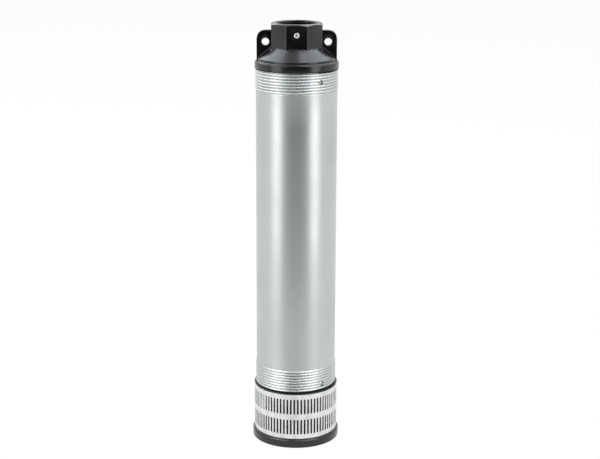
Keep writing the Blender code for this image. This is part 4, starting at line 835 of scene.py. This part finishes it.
@dataclass
class Inlet:
    """Suction cover, slotted strainer, base cap and the cap's screws."""

    slots: int = 75
    slot_turn: float = -91.6
    slot_width: float = 2.0
    slot_rows: tuple[tuple[float, float], ...] = ((15.5, 33.2), (39.6, 57.3))
    strainer_low: float = 8.1
    strainer_top: float = 62.8
    flange_radius: float = 47.3
    skirt_wall: float = 2.4
    skirt_depth: float = 6.0
    eye: float = 17.0
    chamber_floor: float = 68.2
    chamber_radius: float = 40.6
    cover_top: float = 83.9
    rib_thickness: float = 2.0
    rib_top_under_eye: float = 54.1
    post_radius: float = 4.5
    post_drilled: float = 18.0
    cap_radius: float = 49.07
    cap_floor: float = 5.2
    cap_recess: float = 1.2
    foot_bore: float = 41.47
    groove_depth: float = 2.4
    spigot_height: float = 4.0
    spigot_wall: float = 2.2
    screw_head: float = 3.2
    screw_head_height: float = 1.5
    screw_shank: float = 1.5
    screw_length: float = 14.5
    wing: float = 1.9
    wing_share: float = 0.24

    def strainer(self) -> Piece:
        """Build the drum: one pierced cell, repeated along a strip that is then rolled.

        Returns:
            The drum.
        """
        middle = (LEVELS.strainer_radius + LEVELS.strainer_bore) / 2
        wall = LEVELS.strainer_radius - LEVELS.strainer_bore
        width = 2 * math.pi * middle / self.slots
        deselect()
        centre = (self.strainer_low + self.strainer_top) / 2
        bpy.ops.mesh.primitive_cube_add(size=MM, location=(0.0, 0.0, centre * MM))
        cell = bpy.context.active_object
        cell.name = "slotted_drum"
        cell.scale = (width, wall, self.strainer_top - self.strainer_low)
        bpy.ops.object.transform_apply(location=True, rotation=True, scale=True)
        for low, high in self.slot_rows:
            combine(cell, self.slot_tool(low, high), "DIFFERENCE")
        focus(cell)
        repeat = cell.modifiers.new("repeat", "ARRAY")
        repeat.count = self.slots
        repeat.use_relative_offset = False
        repeat.use_constant_offset = True
        repeat.constant_offset_displace = (width * MM, 0.0, 0.0)
        bpy.ops.object.modifier_apply(modifier=repeat.name)
        for vertex in cell.data.vertices:
            angle = vertex.co.x / (middle * MM) + math.radians(self.slot_turn)
            radius = middle * MM - vertex.co.y
            vertex.co.x, vertex.co.y = radius * math.cos(angle), radius * math.sin(angle)
        return self.close_seams(cell)

    def slot_tool(self, low: float, high: float) -> Piece:
        """Make a round-ended cutter for one slot, lying across the sheet.

        Args:
            low: lower end of the slot, in millimetres.
            high: upper end of the slot, in millimetres.

        Returns:
            The cutter.
        """
        radius = self.slot_width / 2
        deselect()
        bpy.ops.mesh.primitive_cylinder_add(
            vertices=16, radius=radius * MM, depth=4 * MM, location=(0.0, 0.0, (low + radius) * MM),
            rotation=(math.radians(90.0), 0.0, 0.0),
        )
        tool = bpy.context.active_object
        bpy.ops.object.transform_apply(location=True, rotation=True, scale=True)
        stretch = (high - low - 2 * radius) * MM
        for vertex in tool.data.vertices:
            if vertex.co.z > (low + radius + 0.01) * MM:
                vertex.co.z += stretch
        return tool

    def close_seams(self, drum: Piece) -> Piece:
        """Merge the cells' edges and drop the walls that they shared.

        Args:
            drum: the rolled cells.

        Returns:
            The same piece, as one closed drum.
        """
        edit_all(drum)
        bpy.ops.mesh.remove_doubles(threshold=0.01 * MM)
        bpy.ops.mesh.select_all(action="DESELECT")
        bpy.ops.mesh.select_interior_faces()
        bpy.ops.mesh.delete(type="FACE")
        bpy.ops.mesh.select_all(action="SELECT")
        bpy.ops.mesh.normals_make_consistent(inside=False)
        bpy.ops.object.mode_set(mode="OBJECT")
        return smooth(drum, 30.0)

    def cover(self) -> Piece:
        """Build the suction cover: flange, skirt, first chamber and three drilled posts.

        Returns:
            The cover.
        """
        skirt = LEVELS.strainer_bore - LEVELS.seat_gap
        skirt_low = LEVELS.flange_low - self.skirt_depth
        low, top = LEVELS.flange_low, LEVELS.flange_top
        corners = [
            (self.eye, low + 1.5, 0.0), (self.eye + 1.5, low, 0.4), (skirt - self.skirt_wall, low, 0.6),
            (skirt - self.skirt_wall, skirt_low, 0.4), (skirt, skirt_low, 0.4),
            (skirt, low, 0.0), (self.flange_radius, low, 0.4), (self.flange_radius, top, 0.5),
            (LEVELS.spigot_radius, top, 0.0), (LEVELS.spigot_radius, self.cover_top, 0.5),
            (self.chamber_radius, self.cover_top, 0.3), (self.chamber_radius, self.chamber_floor, 0.8),
            (self.eye, self.chamber_floor, 0.5),
        ]
        piece = turn("suction_cover_moulding", eased(corners), 128)
        foot = self.cap_floor + LEVELS.seat_gap
        for spot in ring_of(3, LEVELS.post_circle):
            combine(piece, bar("post", self.post_radius, foot, low + 2.0, spot, 28), "UNION")
        for angle in LEVELS.third_turns:
            rib = slab("rib", (0.0, LEVELS.post_circle), self.rib_thickness, (foot, low + 2.0), angle)
            combine(piece, rib, "UNION")
        under_eye = bar("under_eye", self.eye - 1.0, self.rib_top_under_eye, low + 3.0, sides=64)
        combine(piece, under_eye, "DIFFERENCE")
        drill_radius = self.screw_shank + LEVELS.screw_gap
        for spot in ring_of(3, LEVELS.post_circle):
            combine(piece, bar("drill", drill_radius, foot - 1, self.post_drilled, spot, 20), "DIFFERENCE")
        return smooth(piece)

    def cap(self) -> Piece:
        """Build the base cap with its foot ring, shoulder, groove and screw holes.

        Returns:
            The cap.
        """
        top = LEVELS.cap_height
        ledge = LEVELS.strainer_radius + LEVELS.seat_gap
        groove = top - self.groove_depth
        spigot = LEVELS.strainer_bore - LEVELS.seat_gap
        spigot_top = top + self.spigot_height
        corners = [
            (0.0, self.cap_recess, 0.0), (self.foot_bore - self.cap_recess, self.cap_recess, 0.3),
            (self.foot_bore, 0.0, 0.4), (self.cap_radius, 0.0, 0.7),
            (self.cap_radius, top - 2.2, 0.2), (self.cap_radius - 1.1, top - 1.1, 0.2),
            (self.cap_radius - 1.15, top - 0.1, 0.2), (ledge, top, 0.1), (ledge, groove, 0.0),
            (spigot, groove, 0.0), (spigot, spigot_top, 0.5), (spigot - self.spigot_wall, spigot_top, 0.5),
            (spigot - self.spigot_wall, self.cap_floor, 0.8), (0.0, self.cap_floor, 0.0),
        ]
        piece = turn("base_cap_moulding", eased(corners, 5, False), 144, False)
        seat = self.cap_recess + self.screw_head_height + 2 * LEVELS.seat_gap
        gap = LEVELS.screw_gap
        for spot in ring_of(3, LEVELS.post_circle):
            combine(piece, bar("seat", self.screw_head + gap, -1.0, seat, spot, 28), "DIFFERENCE")
            drill = bar("drill", self.screw_shank + gap, 1.0, self.cap_floor + 2.8, spot, 20)
            combine(piece, drill, "DIFFERENCE")
        return smooth(piece)

    def screw(self, name: str, spot: tuple[float, float]) -> Piece:
        """Build one pan-head screw with a cross recess, its head down.

        Args:
            name: the screw's name.
            spot: x and y of its axis, in millimetres.

        Returns:
            The screw.
        """
        low = self.cap_recess + LEVELS.seat_gap
        neck = low + self.screw_head_height
        tip = low + self.screw_length
        corners = [
            (0.0, low, 0.0), (self.screw_head, low, 0.8), (self.screw_head, neck, 0.2),
            (self.screw_shank, neck, 0.0), (self.screw_shank, tip, 0.4), (0.0, tip, 0.0),
        ]
        piece = turn(name, eased(corners, 3, False), 28, False)
        cut_cross(piece, self.wing, self.wing_share, (low - 1.0, low + 1.0))
        return smooth(placed(piece, Matrix.Translation((spot[0] * MM, spot[1] * MM, 0.0))))

    def build(self) -> None:
        """Build and dress the inlet."""
        mount(self.strainer(), Surface.PIERCED_STEEL, "bright_steel", "housing", "strainer")
        mount(self.cover(), Surface.BLACK_PLASTIC, "black_plastic", "housing", "suction_cover")
        mount(self.cap(), Surface.BLACK_PLASTIC, "black_plastic", "housing", "base_cap")
        for index, spot in enumerate(ring_of(3, LEVELS.post_circle)):
            screw = self.screw(f"cap_screw_{index + 1}", spot)
            mount(screw, Surface.TURNED_STEEL, "bright_steel", "housing", f"base_screw_{index + 1}")


@dataclass
class OutletHead:
    """Moulded head: rim, cone, octagonal threaded port, rope ears and gland boss."""

    rim_radius: float = 46.05
    rim_top: float = 432.8
    cone_foot_radius: float = 43.0
    cone_foot: float = 435.7
    cone_foot_step: float = 0.5
    cone_top_radius: float = 28.9
    port_foot: float = 447.8
    port_top: float = 474.3
    port_flat: float = 27.8
    chamfer_height: float = 1.95
    chamfer_circle: float = 26.5
    bore: float = 20.3
    mouth: float = 22.3
    mouth_low: float = 472.3
    thread_low: float = 455.5
    thread_pitch: float = 2.31
    thread_depth: float = 1.1
    cavity: float = 40.3
    spigot_low: float = 403.8
    roof: float = 430.0
    shelf_top: float = 442.5
    shelf_low: float = 439.5
    throat: float = 17.0
    core: float = 12.0
    ear_thickness: float = 8.0
    ear_root: float = 22.0
    ear_reach: float = 43.7
    ear_top: float = 466.2
    ear_corner: float = 10.5
    fillet: float = 0.6
    eye: tuple[float, float] = (34.1, 453.7)
    eye_radius: float = 4.1
    gland_boss: float = 7.2
    gland_boss_top: float = 448.3
    gland_pocket: float = 5.6
    gland_pocket_depth: float = 12.2
    gland_bore: float = 4.3
    lock_hole: float = 1.8
    screw_height: float = 462.9
    screw_radius: float = 3.0
    screw_length: float = 5.0
    screw_proud: float = 0.3
    socket_radius: float = 1.3
    socket_depth: float = 4.6

    def body(self) -> Piece:
        """Turn the head's round body, closed over its passages.

        Returns:
            The body.
        """
        step = self.cone_foot_step
        corners = [
            (self.cavity, self.spigot_low, 0.4), (LEVELS.spigot_radius, self.spigot_low, 0.6),
            (LEVELS.spigot_radius, LEVELS.head_low, 0.0), (self.rim_radius, LEVELS.head_low, 0.4),
            (self.rim_radius, self.rim_top, 1.3), (self.cone_foot_radius + step, self.rim_top, 0.4),
            (self.cone_foot_radius - step, self.rim_top + 0.9, 0.3),
            (self.cone_foot_radius, self.cone_foot, 0.9), (self.cone_top_radius, self.port_foot, 0.8),
            (self.core, self.port_foot, 0.0), (self.core, self.roof, 0.0), (self.cavity, self.roof, 1.0),
        ]
        return turn("head_moulding", eased(corners, 5), 144)

    def octagon(self) -> Piece:
        """Make the octagonal port blank: eight eased edges, its top turned to a cone like a nut's.

        Returns:
            The blank.
        """
        corner = self.port_flat / math.cos(math.pi / 8)
        blank = bar("octagon", corner, self.shelf_low, self.port_top, sides=8, turned=22.5)
        soften(blank, 0.7, 3, 40.0)
        steep = self.chamfer_height / (corner - self.chamfer_circle)
        low, wide = self.shelf_low - 1.0, corner + 1.0
        corners = [
            (0.0, low, 0.0), (wide, low, 0.0),
            (wide, self.port_top - steep * (wide - self.chamfer_circle), 0.0),
            (self.chamfer_circle, self.port_top, 0.7), (0.0, self.port_top, 0.0),
        ]
        return combine(blank, turn("cone", eased(corners, 4, False), 96, False), "INTERSECT")

    def ear(self, side: int) -> Piece:
        """Make one rope ear: a plate with a rounded outer corner and a round eye.

        Args:
            side: 1 for the ear at +x, -1 for the one at -x.

        Returns:
            The ear.
        """
        root, reach = self.ear_root * side, self.ear_reach * side
        low, top = self.rim_top - 1.0, self.ear_top
        corners = [(root, low, 0.0), (reach, low, 0.0), (reach, top, self.ear_corner), (root, top, 0.0)]
        ear = plate("ear", eased(corners, 10), self.ear_thickness)
        eye = bar("eye", self.eye_radius, -self.ear_thickness, self.ear_thickness, sides=40)
        placed(eye, Matrix.Rotation(math.radians(90.0), 4, "X"))
        placed(eye, Matrix.Translation((self.eye[0] * side * MM, 0.0, self.eye[1] * MM)))
        return soften(combine(ear, eye, "DIFFERENCE"), 0.7, 3, 50.0)

    def passage(self) -> Piece:
        """Make the cutter for the water's way, with the port's pipe thread.

        Returns:
            The cutter.
        """
        wide = self.cavity - 1.0
        outline: Outline = [
            (0.0, self.roof - 1.0), (wide, self.roof - 1.0), (wide, self.roof),
            (self.bore + 2.0, self.shelf_low), (self.throat, self.shelf_low),
            (self.throat, self.shelf_top), (self.bore, self.shelf_top),
        ]
        height = self.thread_low
        while height < self.mouth_low - self.thread_pitch:
            outline += [
                (self.bore, height), (self.bore + self.thread_depth, height + self.thread_pitch * 0.5),
                (self.bore, height + self.thread_pitch * 0.95),
            ]
            height += self.thread_pitch
        top = self.port_top
        outline += [
            (self.bore, self.mouth_low), (self.mouth, top - 1.8), (self.mouth, top - 0.9),
            (self.mouth + 1.4, top + 0.5), (0.0, top + 0.5),
        ]
        return turn("passage", outline, 96, False)

    def head(self) -> Piece:
        """Join the head's forms and open its passages.

        Returns:
            The head.
        """
        piece = self.body()
        for side in (1, -1):
            combine(piece, self.ear(side), "UNION")
        boss = bar("boss", self.gland_boss, self.cone_foot, self.gland_boss_top, (0.0, LEVELS.gland_axis), 40)
        combine(piece, soften(boss, 0.5, 2, 60.0), "UNION")
        combine(piece, self.octagon(), "UNION")
        fill_corners(piece, self.fillet, (self.cone_foot - 1.5, self.port_foot + 1.5), self.port_flat - 1.0)
        combine(piece, self.passage(), "DIFFERENCE")
        spot = (0.0, LEVELS.gland_axis)
        low, top = self.gland_boss_top - self.gland_pocket_depth, self.gland_boss_top + 1.0
        combine(piece, bar("pocket", self.gland_pocket, low, top, spot, 32), "DIFFERENCE")
        combine(piece, bar("way", self.gland_bore, LEVELS.head_low, low + 1.0, spot, 28), "DIFFERENCE")
        floor = self.port_flat - self.screw_length - LEVELS.seat_gap
        socket = bar("socket", self.screw_radius + LEVELS.screw_gap, floor, self.port_flat + 2.0, sides=32)
        combine(piece, pointing(socket, -90.0, self.screw_height), "DIFFERENCE")
        hole = bar("hole", self.lock_hole, self.cavity - 2.0, LEVELS.spigot_radius + 0.6, sides=20)
        combine(piece, pointing(hole, *LEVELS.upper_lock), "DIFFERENCE")
        return smooth(piece, 28.0)

    def screw(self) -> Piece:
        """Build the small socket screw in the front facet.

        Returns:
            The screw.
        """
        low, face = self.port_flat - self.screw_length, self.port_flat + self.screw_proud
        floor = face - self.socket_depth
        corners = [
            (0.0, low, 0.0), (self.screw_radius, low, 0.3), (self.screw_radius, face, 0.8),
            (self.socket_radius, face, 0.6), (self.socket_radius, floor, 0.0), (0.0, floor, 0.0),
        ]
        piece = turn("port_socket_screw", eased(corners, 6, False), 36, False)
        return smooth(pointing(piece, -90.0, self.screw_height))

    def build(self) -> None:
        """Build and dress the head."""
        mount(self.head(), Surface.BLACK_PLASTIC, "black_plastic", "housing", "outlet_head")
        mount(self.screw(), Surface.ZINC, "bright_steel", "housing", "port_screw")


@dataclass
class CableGland:
    """Compression nut behind the port and the grommet under it."""

    low: float = 448.6
    height: float = 6.0
    across_flats: float = 13.0
    sleeve: float = 5.3
    sleeve_low: float = 444.0
    bore: float = 4.3
    grommet_low: float = 436.4
    grommet_bore: float = 4.0

    def nut(self) -> Piece:
        """Build the hexagon nut with its chamfered crown and sleeve.

        Returns:
            The nut.
        """
        corner = self.across_flats / 2 / math.cos(math.pi / 6)
        top = self.low + self.height
        piece = bar("gland_nut_moulding", corner, self.low, top, sides=6)
        soften(piece, 0.35, 2, 40.0)
        crown = [
            (0.0, self.low - 1.0, 0.0), (corner + 0.5, self.low - 1.0, 0.0), (corner + 0.5, top - 1.4, 0.0),
            (self.across_flats / 2 - 0.4, top, 0.4), (0.0, top, 0.0),
        ]
        combine(piece, turn("crown", eased(crown, 3, False), 48, False), "INTERSECT")
        combine(piece, bar("sleeve", self.sleeve, self.sleeve_low, self.low + 1.0, sides=36), "UNION")
        combine(piece, bar("drill", self.bore, self.sleeve_low - 1.0, top + 1.0, sides=32), "DIFFERENCE")
        return smooth(placed(piece, Matrix.Translation((0.0, LEVELS.gland_axis * MM, 0.0))))

    def grommet(self) -> Piece:
        """Build the rubber grommet, its lips rounded.

        Returns:
            The grommet.
        """
        high = self.sleeve_low - LEVELS.seat_gap
        corners = [
            (self.grommet_bore, self.grommet_low, 0.4), (self.sleeve, self.grommet_low, 0.4),
            (self.sleeve, high, 0.3), (self.grommet_bore, high, 0.4),
        ]
        piece = turn("cable_grommet", eased(corners, 3), 40)
        return smooth(placed(piece, Matrix.Translation((0.0, LEVELS.gland_axis * MM, 0.0))))

    def build(self) -> None:
        """Build and dress the gland."""
        mount(self.nut(), Surface.BLACK_PLASTIC, "black_plastic", "housing", "gland_nut")
        mount(self.grommet(), Surface.RUBBER, "black_rubber", "housing", "gland_grommet")


@dataclass
class CheckValve:
    """Brass seat with its guide, the poppet and seal that lift off it, and their return spring."""

    seat_low: float = 442.8
    seat_top: float = 446.8
    seat_radius: float = 20.0
    throat: float = 13.5
    hub: float = 4.8
    hub_low: float = 437.8
    guide_gap: float = 0.4
    spoke_thickness: float = 2.6
    stem: float = 2.2
    stem_low: float = 423.8
    disc_low: float = 448.8
    disc_top: float = 451.2
    disc: float = 16.8
    dish: tuple[float, float] = (4.5, 11.0)
    dish_depth: float = 0.6
    seal_low: float = 447.1
    seal_top: float = 448.5
    seal_bore: float = 12.6
    spring_low: float = 426.5
    spring_top: float = 437.5
    spring_radius: float = 3.7
    spring_wire: float = 0.5
    spring_turns: int = 3
    lift: float = 6.0

    def seat(self) -> Piece:
        """Build the seat ring, three spokes and the stem's guide.

        Returns:
            The seat.
        """
        corners = [
            (self.throat, self.seat_low, 0.4), (self.seat_radius, self.seat_low, 0.3),
            (self.seat_radius, self.seat_top, 0.5), (self.throat, self.seat_top, 0.8),
        ]
        piece = turn("valve_seat_ring", eased(corners), 72)
        combine(piece, bar("hub", self.hub, self.hub_low, self.seat_top - 0.6, sides=32), "UNION")
        levels = (self.seat_low + 0.2, self.seat_top - 1.0)
        for angle in LEVELS.third_turns:
            spoke = slab("spoke", (1.0, self.throat + 2.0), self.spoke_thickness, levels, angle)
            combine(piece, soften(spoke, 0.3, 2), "UNION")
        guide = bar("guide", self.stem + self.guide_gap, self.hub_low - 1.0, self.seat_top + 1.0, sides=28)
        return smooth(combine(piece, guide, "DIFFERENCE"))

    def poppet(self) -> Piece:
        """Build the disc, dished on top, and its stem.

        Returns:
            The poppet.
        """
        top, dished = self.disc_top, self.disc_top - self.dish_depth
        near, far = self.dish
        corners = [
            (0.0, self.stem_low, 0.0), (self.stem, self.stem_low, 0.5), (self.stem, self.disc_low, 0.3),
            (self.disc, self.disc_low, 0.3), (self.disc, top, 1.3), (far + 1.0, top, 0.6),
            (far, dished, 0.5), (near, dished, 0.5), (near - 0.9, top, 0.4), (0.0, top, 0.0),
        ]
        return smooth(turn("valve_disc", eased(corners, 4, False), 72, False))

    def seal(self) -> Piece:
        """Build the flat seal ring.

        Returns:
            The seal.
        """
        corners = [
            (self.seal_bore, self.seal_low, 0.3), (self.disc, self.seal_low, 0.4),
            (self.disc, self.seal_top, 0.4), (self.seal_bore, self.seal_top, 0.3),
        ]
        return smooth(turn("valve_seal_ring", eased(corners, 3), 72))

    def spring(self) -> Piece:
        """Wind the return spring: a wire's section, screwed upwards, its ends closed.

        Returns:
            The spring at its length at rest.
        """
        deselect()
        upright = (math.pi / 2, 0.0, 0.0)
        bpy.ops.mesh.primitive_circle_add(vertices=14, radius=self.spring_wire * MM, rotation=upright)
        piece = bpy.context.active_object
        piece.name = "valve_return_spring"
        bpy.ops.object.transform_apply(location=True, rotation=True, scale=True)
        low = self.spring_low + self.spring_wire
        placed(piece, Matrix.Translation((self.spring_radius * MM, 0.0, low * MM)))
        wind = piece.modifiers.new("wind", "SCREW")
        wind.steps = wind.render_steps = 28
        wind.iterations = self.spring_turns
        rise = self.spring_top - self.spring_low - 2 * self.spring_wire
        wind.screw_offset = rise / self.spring_turns * MM
        bpy.ops.object.modifier_apply(modifier=wind.name)
        edit_all(piece)
        bpy.ops.mesh.remove_doubles(threshold=WELD * MM)
        bpy.ops.mesh.fill_holes(sides=0)
        bpy.ops.mesh.select_all(action="SELECT")
        bpy.ops.mesh.normals_make_consistent(inside=False)
        bpy.ops.object.mode_set(mode="OBJECT")
        return smooth(piece, 45.0)

    def build(self) -> None:
        """Build and dress the check valve."""
        mount(self.seat(), Surface.BRASS, "brass", "housing", "valve_seat")
        mount(self.poppet(), Surface.WHITE_ACETAL, "white_polymer", "valve", "valve_poppet")
        mount(self.seal(), Surface.RUBBER, "black_rubber", "valve", "valve_seal")
        spring = mount(self.spring(), Surface.DRAWN_STEEL, "bright_steel", "valve", "valve_spring")
        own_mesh(spring)


@dataclass
class Innards:
    """Pieces inside the housing, which keep their solids and get their own finishes."""

    finishes: dict[str, Surface] = field(default_factory=lambda: {
        "grey_plastic": Surface.GREY_PLASTIC, "impeller_resin": Surface.IMPELLER_RESIN,
        "satin_steel": Surface.SATIN_STEEL, "bright_steel": Surface.DRAWN_STEEL,
        "black_rubber": Surface.RUBBER, "brass": Surface.BRASS, "cast_aluminium": Surface.CAST_ALUMINIUM,
        "lamination_steel": Surface.LAMINATIONS, "enamelled_copper": Surface.COPPER_WIRE,
        "ceramic": Surface.CERAMIC, "carbon": Surface.CARBON, "white_polymer": Surface.WHITE_ACETAL,
        "black_plastic": Surface.BLACK_PLASTIC,
    })

    def build(self) -> None:
        """Dress every node by the slot that the record gives it."""
        slots = {row["node"]: row["material_slot"] for row in frame["record"]["subparts"]}
        for name, node in frame["nodes"].items():
            for place in node.material_slots:
                place.material = self.finishes[slots[name]].material()
        LOG.info("%d nodes dressed", len(slots))


# Stage


@dataclass(frozen=True)
class Lamp:
    """One soft rectangular lamp: its place, its size and its radiance.

    Place, size and aim are in millimetres. The aim is the level on the pump's axis that the lamp looks
    at; a lamp without one hangs flat and looks straight down.
    """

    name: str
    spot: tuple[float, float, float]
    size: tuple[float, float]
    radiance: float
    aim: float | None = 300.0
    colour: tuple[float, float, float] = (1.0, 1.0, 1.0)


@dataclass
class Studio:
    """Camera, floor, lamps and the pale surroundings."""

    lens: float = 85.78
    sensor: float = 36.0
    farthest: float = 50.0
    camera: tuple[float, float, float] = (4.3, -1555.5, 638.9)
    pitch: float = 14.287
    roll: float = 0.23
    floor_radius: float = 9.0
    paper_share: float = 0.97
    front_light: float = 0.03
    side_light: float = 0.95
    room_light: float = 0.15
    dim_front: tuple[float, float] = (0.5, 0.95)
    floor_steps: tuple[tuple[float, float, float], ...] = ((3.3, 2.2, 0.4), (1.2, 0.0, 0.57))
    lamps: tuple[Lamp, ...] = (
        Lamp("left_lamp", (-655.0, -460.0, 420.0), (380.0, 900.0), 1.9),
        Lamp("right_lamp", (615.0, -490.0, 420.0), (340.0, 900.0), 2.1),
        Lamp("left_top_lamp", (-1100.0, 1000.0, 1700.0), (1200.0, 4000.0), 2.9, None, (0.88, 0.93, 1.0)),
        Lamp("right_top_lamp", (700.0, 650.0, 1700.0), (1200.0, 3500.0), 2.8, None, (0.88, 0.93, 1.0)),
    )

    def add_camera(self) -> None:
        """Place the camera."""
        lens = bpy.data.cameras.new("camera")
        lens.lens = self.lens
        lens.sensor_width = self.sensor
        lens.clip_end = self.farthest
        camera = bpy.data.objects.new("camera", lens)
        tilt = Matrix.Rotation(math.radians(90.0 - self.pitch), 4, "X")
        roll = Matrix.Rotation(math.radians(self.roll), 4, "Z")
        camera.matrix_world = Matrix.Translation(Vector(self.camera) * MM) @ tilt @ roll
        bpy.context.scene.collection.objects.link(camera)
        bpy.context.scene.camera = camera

    def add_floor(self) -> None:
        """Lay the paper: white to the camera, and in metal dimmer towards the camera's side."""
        deselect()
        bpy.ops.mesh.primitive_circle_add(vertices=96, radius=self.floor_radius, fill_type="NGON")
        floor = bpy.context.active_object
        floor.name = "floor"
        paper = bpy.data.materials.new("studio_paper")
        paper.use_nodes = True
        tree = paper.node_tree
        shader = tree.nodes["Principled BSDF"]
        shader.inputs["Base Color"].default_value = linear("#f4f4f4")
        shader.inputs["Roughness"].default_value = 0.9
        shader.inputs["Specular IOR Level"].default_value = 0.0
        place = add_node(tree, "ShaderNodeTexCoord").outputs["Object"]
        axes = add_node(tree, "ShaderNodeSeparateXYZ", links={0: place})
        light = add_node(tree, "ShaderNodeMath", {"operation": "ADD", 0: self.front_light, 1: 0.0})
        for far, near, rise in self.floor_steps:
            step = add_node(
                tree, "ShaderNodeMapRange",
                {"interpolation_type": "SMOOTHSTEP", "From Min": -far, "From Max": -near, "To Max": rise},
                {"Value": axes.outputs["Y"]},
            )
            light = add_node(
                tree, "ShaderNodeMath", {"operation": "ADD"},
                {0: light.outputs[0], 1: step.outputs["Result"]},
            )
        rays = add_node(tree, "ShaderNodeLightPath")
        white = add_node(
            tree, "ShaderNodeMath", {"operation": "MAXIMUM"},
            {0: light.outputs[0], 1: rays.outputs["Is Camera Ray"]},
        )
        glow = add_node(tree, "ShaderNodeEmission", {"Color": WHITE}, {"Strength": white.outputs[0]})
        shown = add_node(
            tree, "ShaderNodeMath", {"operation": "MULTIPLY", 1: self.paper_share},
            {0: self.seen(tree, rays)},
        )
        mixed = add_node(
            tree, "ShaderNodeMixShader",
            links={0: shown.outputs[0], 1: shader.outputs[0], 2: glow.outputs[0]},
        )
        tree.links.new(mixed.outputs[0], tree.nodes["Material Output"].inputs["Surface"])
        floor.data.materials.append(paper)

    def seen(self, tree: bpy.types.NodeTree, rays: bpy.types.Node) -> bpy.types.NodeSocket:
        """Give 1 for rays that show the background: from the camera, off metal or through glass.

        Args:
            tree: the node tree.
            rays: its light path node.

        Returns:
            The socket that is 0 or 1.
        """
        shiny = add_node(
            tree, "ShaderNodeMath", {"operation": "MAXIMUM"},
            {0: rays.outputs["Is Glossy Ray"], 1: rays.outputs["Is Transmission Ray"]},
        )
        both = add_node(
            tree, "ShaderNodeMath", {"operation": "MAXIMUM"},
            {0: shiny.outputs[0], 1: rays.outputs["Is Camera Ray"]},
        )
        return both.outputs[0]

    def add_lamp(self, lamp_plan: Lamp) -> None:
        """Add one soft rectangular lamp.

        Args:
            lamp_plan: what the lamp is.
        """
        lamp = bpy.data.lights.new(lamp_plan.name, "AREA")
        lamp.shape = "RECTANGLE"
        lamp.size, lamp.size_y = lamp_plan.size[0] * MM, lamp_plan.size[1] * MM
        lamp.energy = lamp_plan.radiance * math.pi * lamp.size * lamp.size_y
        lamp.color = lamp_plan.colour
        item = bpy.data.objects.new(lamp_plan.name, lamp)
        place = Vector(lamp_plan.spot) * MM
        item.matrix_world = Matrix.Translation(place)
        if lamp_plan.aim is not None:
            way = Vector((0.0, 0.0, lamp_plan.aim * MM)) - place
            item.matrix_world = item.matrix_world @ way.to_track_quat("-Z", "Y").to_matrix().to_4x4()
        bpy.context.scene.collection.objects.link(item)

    def add_surroundings(self) -> None:
        """Make the world: white to the camera, and to the metal a white room with a dark camera side."""
        world = bpy.data.worlds.new("studio")
        bpy.context.scene.world = world
        world.use_nodes = True
        tree = world.node_tree
        tree.nodes.clear()
        direction = add_node(tree, "ShaderNodeTexCoord").outputs["Generated"]
        axes = add_node(tree, "ShaderNodeSeparateXYZ", links={0: direction})
        front = add_node(
            tree, "ShaderNodeMapRange",
            {
                "interpolation_type": "SMOOTHSTEP",
                "From Min": -self.dim_front[1], "From Max": -self.dim_front[0],
                "To Min": self.front_light, "To Max": self.side_light,
            },
            {"Value": axes.outputs["Y"]},
        )
        rays = add_node(tree, "ShaderNodeLightPath")
        room = add_node(tree, "ShaderNodeBackground", {"Color": WHITE, "Strength": self.room_light})
        mirror = add_node(
            tree, "ShaderNodeBackground", {"Color": WHITE}, {"Strength": front.outputs["Result"]},
        )
        paper = add_node(tree, "ShaderNodeBackground", {"Color": WHITE, "Strength": 1.0})
        first = add_node(
            tree, "ShaderNodeMixShader",
            links={0: self.seen(tree, rays), 1: room.outputs[0], 2: mirror.outputs[0]},
        )
        second = add_node(
            tree, "ShaderNodeMixShader",
            links={0: rays.outputs["Is Camera Ray"], 1: first.outputs[0], 2: paper.outputs[0]},
        )
        add_node(tree, "ShaderNodeOutputWorld", links={"Surface": second.outputs[0]})

    def build(self) -> None:
        """Set the stage."""
        bpy.context.scene.view_settings.view_transform = "Standard"
        self.add_camera()
        self.add_floor()
        self.add_surroundings()
        for lamp_plan in self.lamps:
            self.add_lamp(lamp_plan)


def main() -> None:
    """Build the stage and the pump."""
    logging.basicConfig(level=logging.INFO, format="%(message)s")
    Studio().build()
    Innards().build()
    for part in (Housing(), Inlet(), OutletHead(), CableGland(), CheckValve()):
        part.build()
    deselect()


if __name__ == "__main__":
    main()
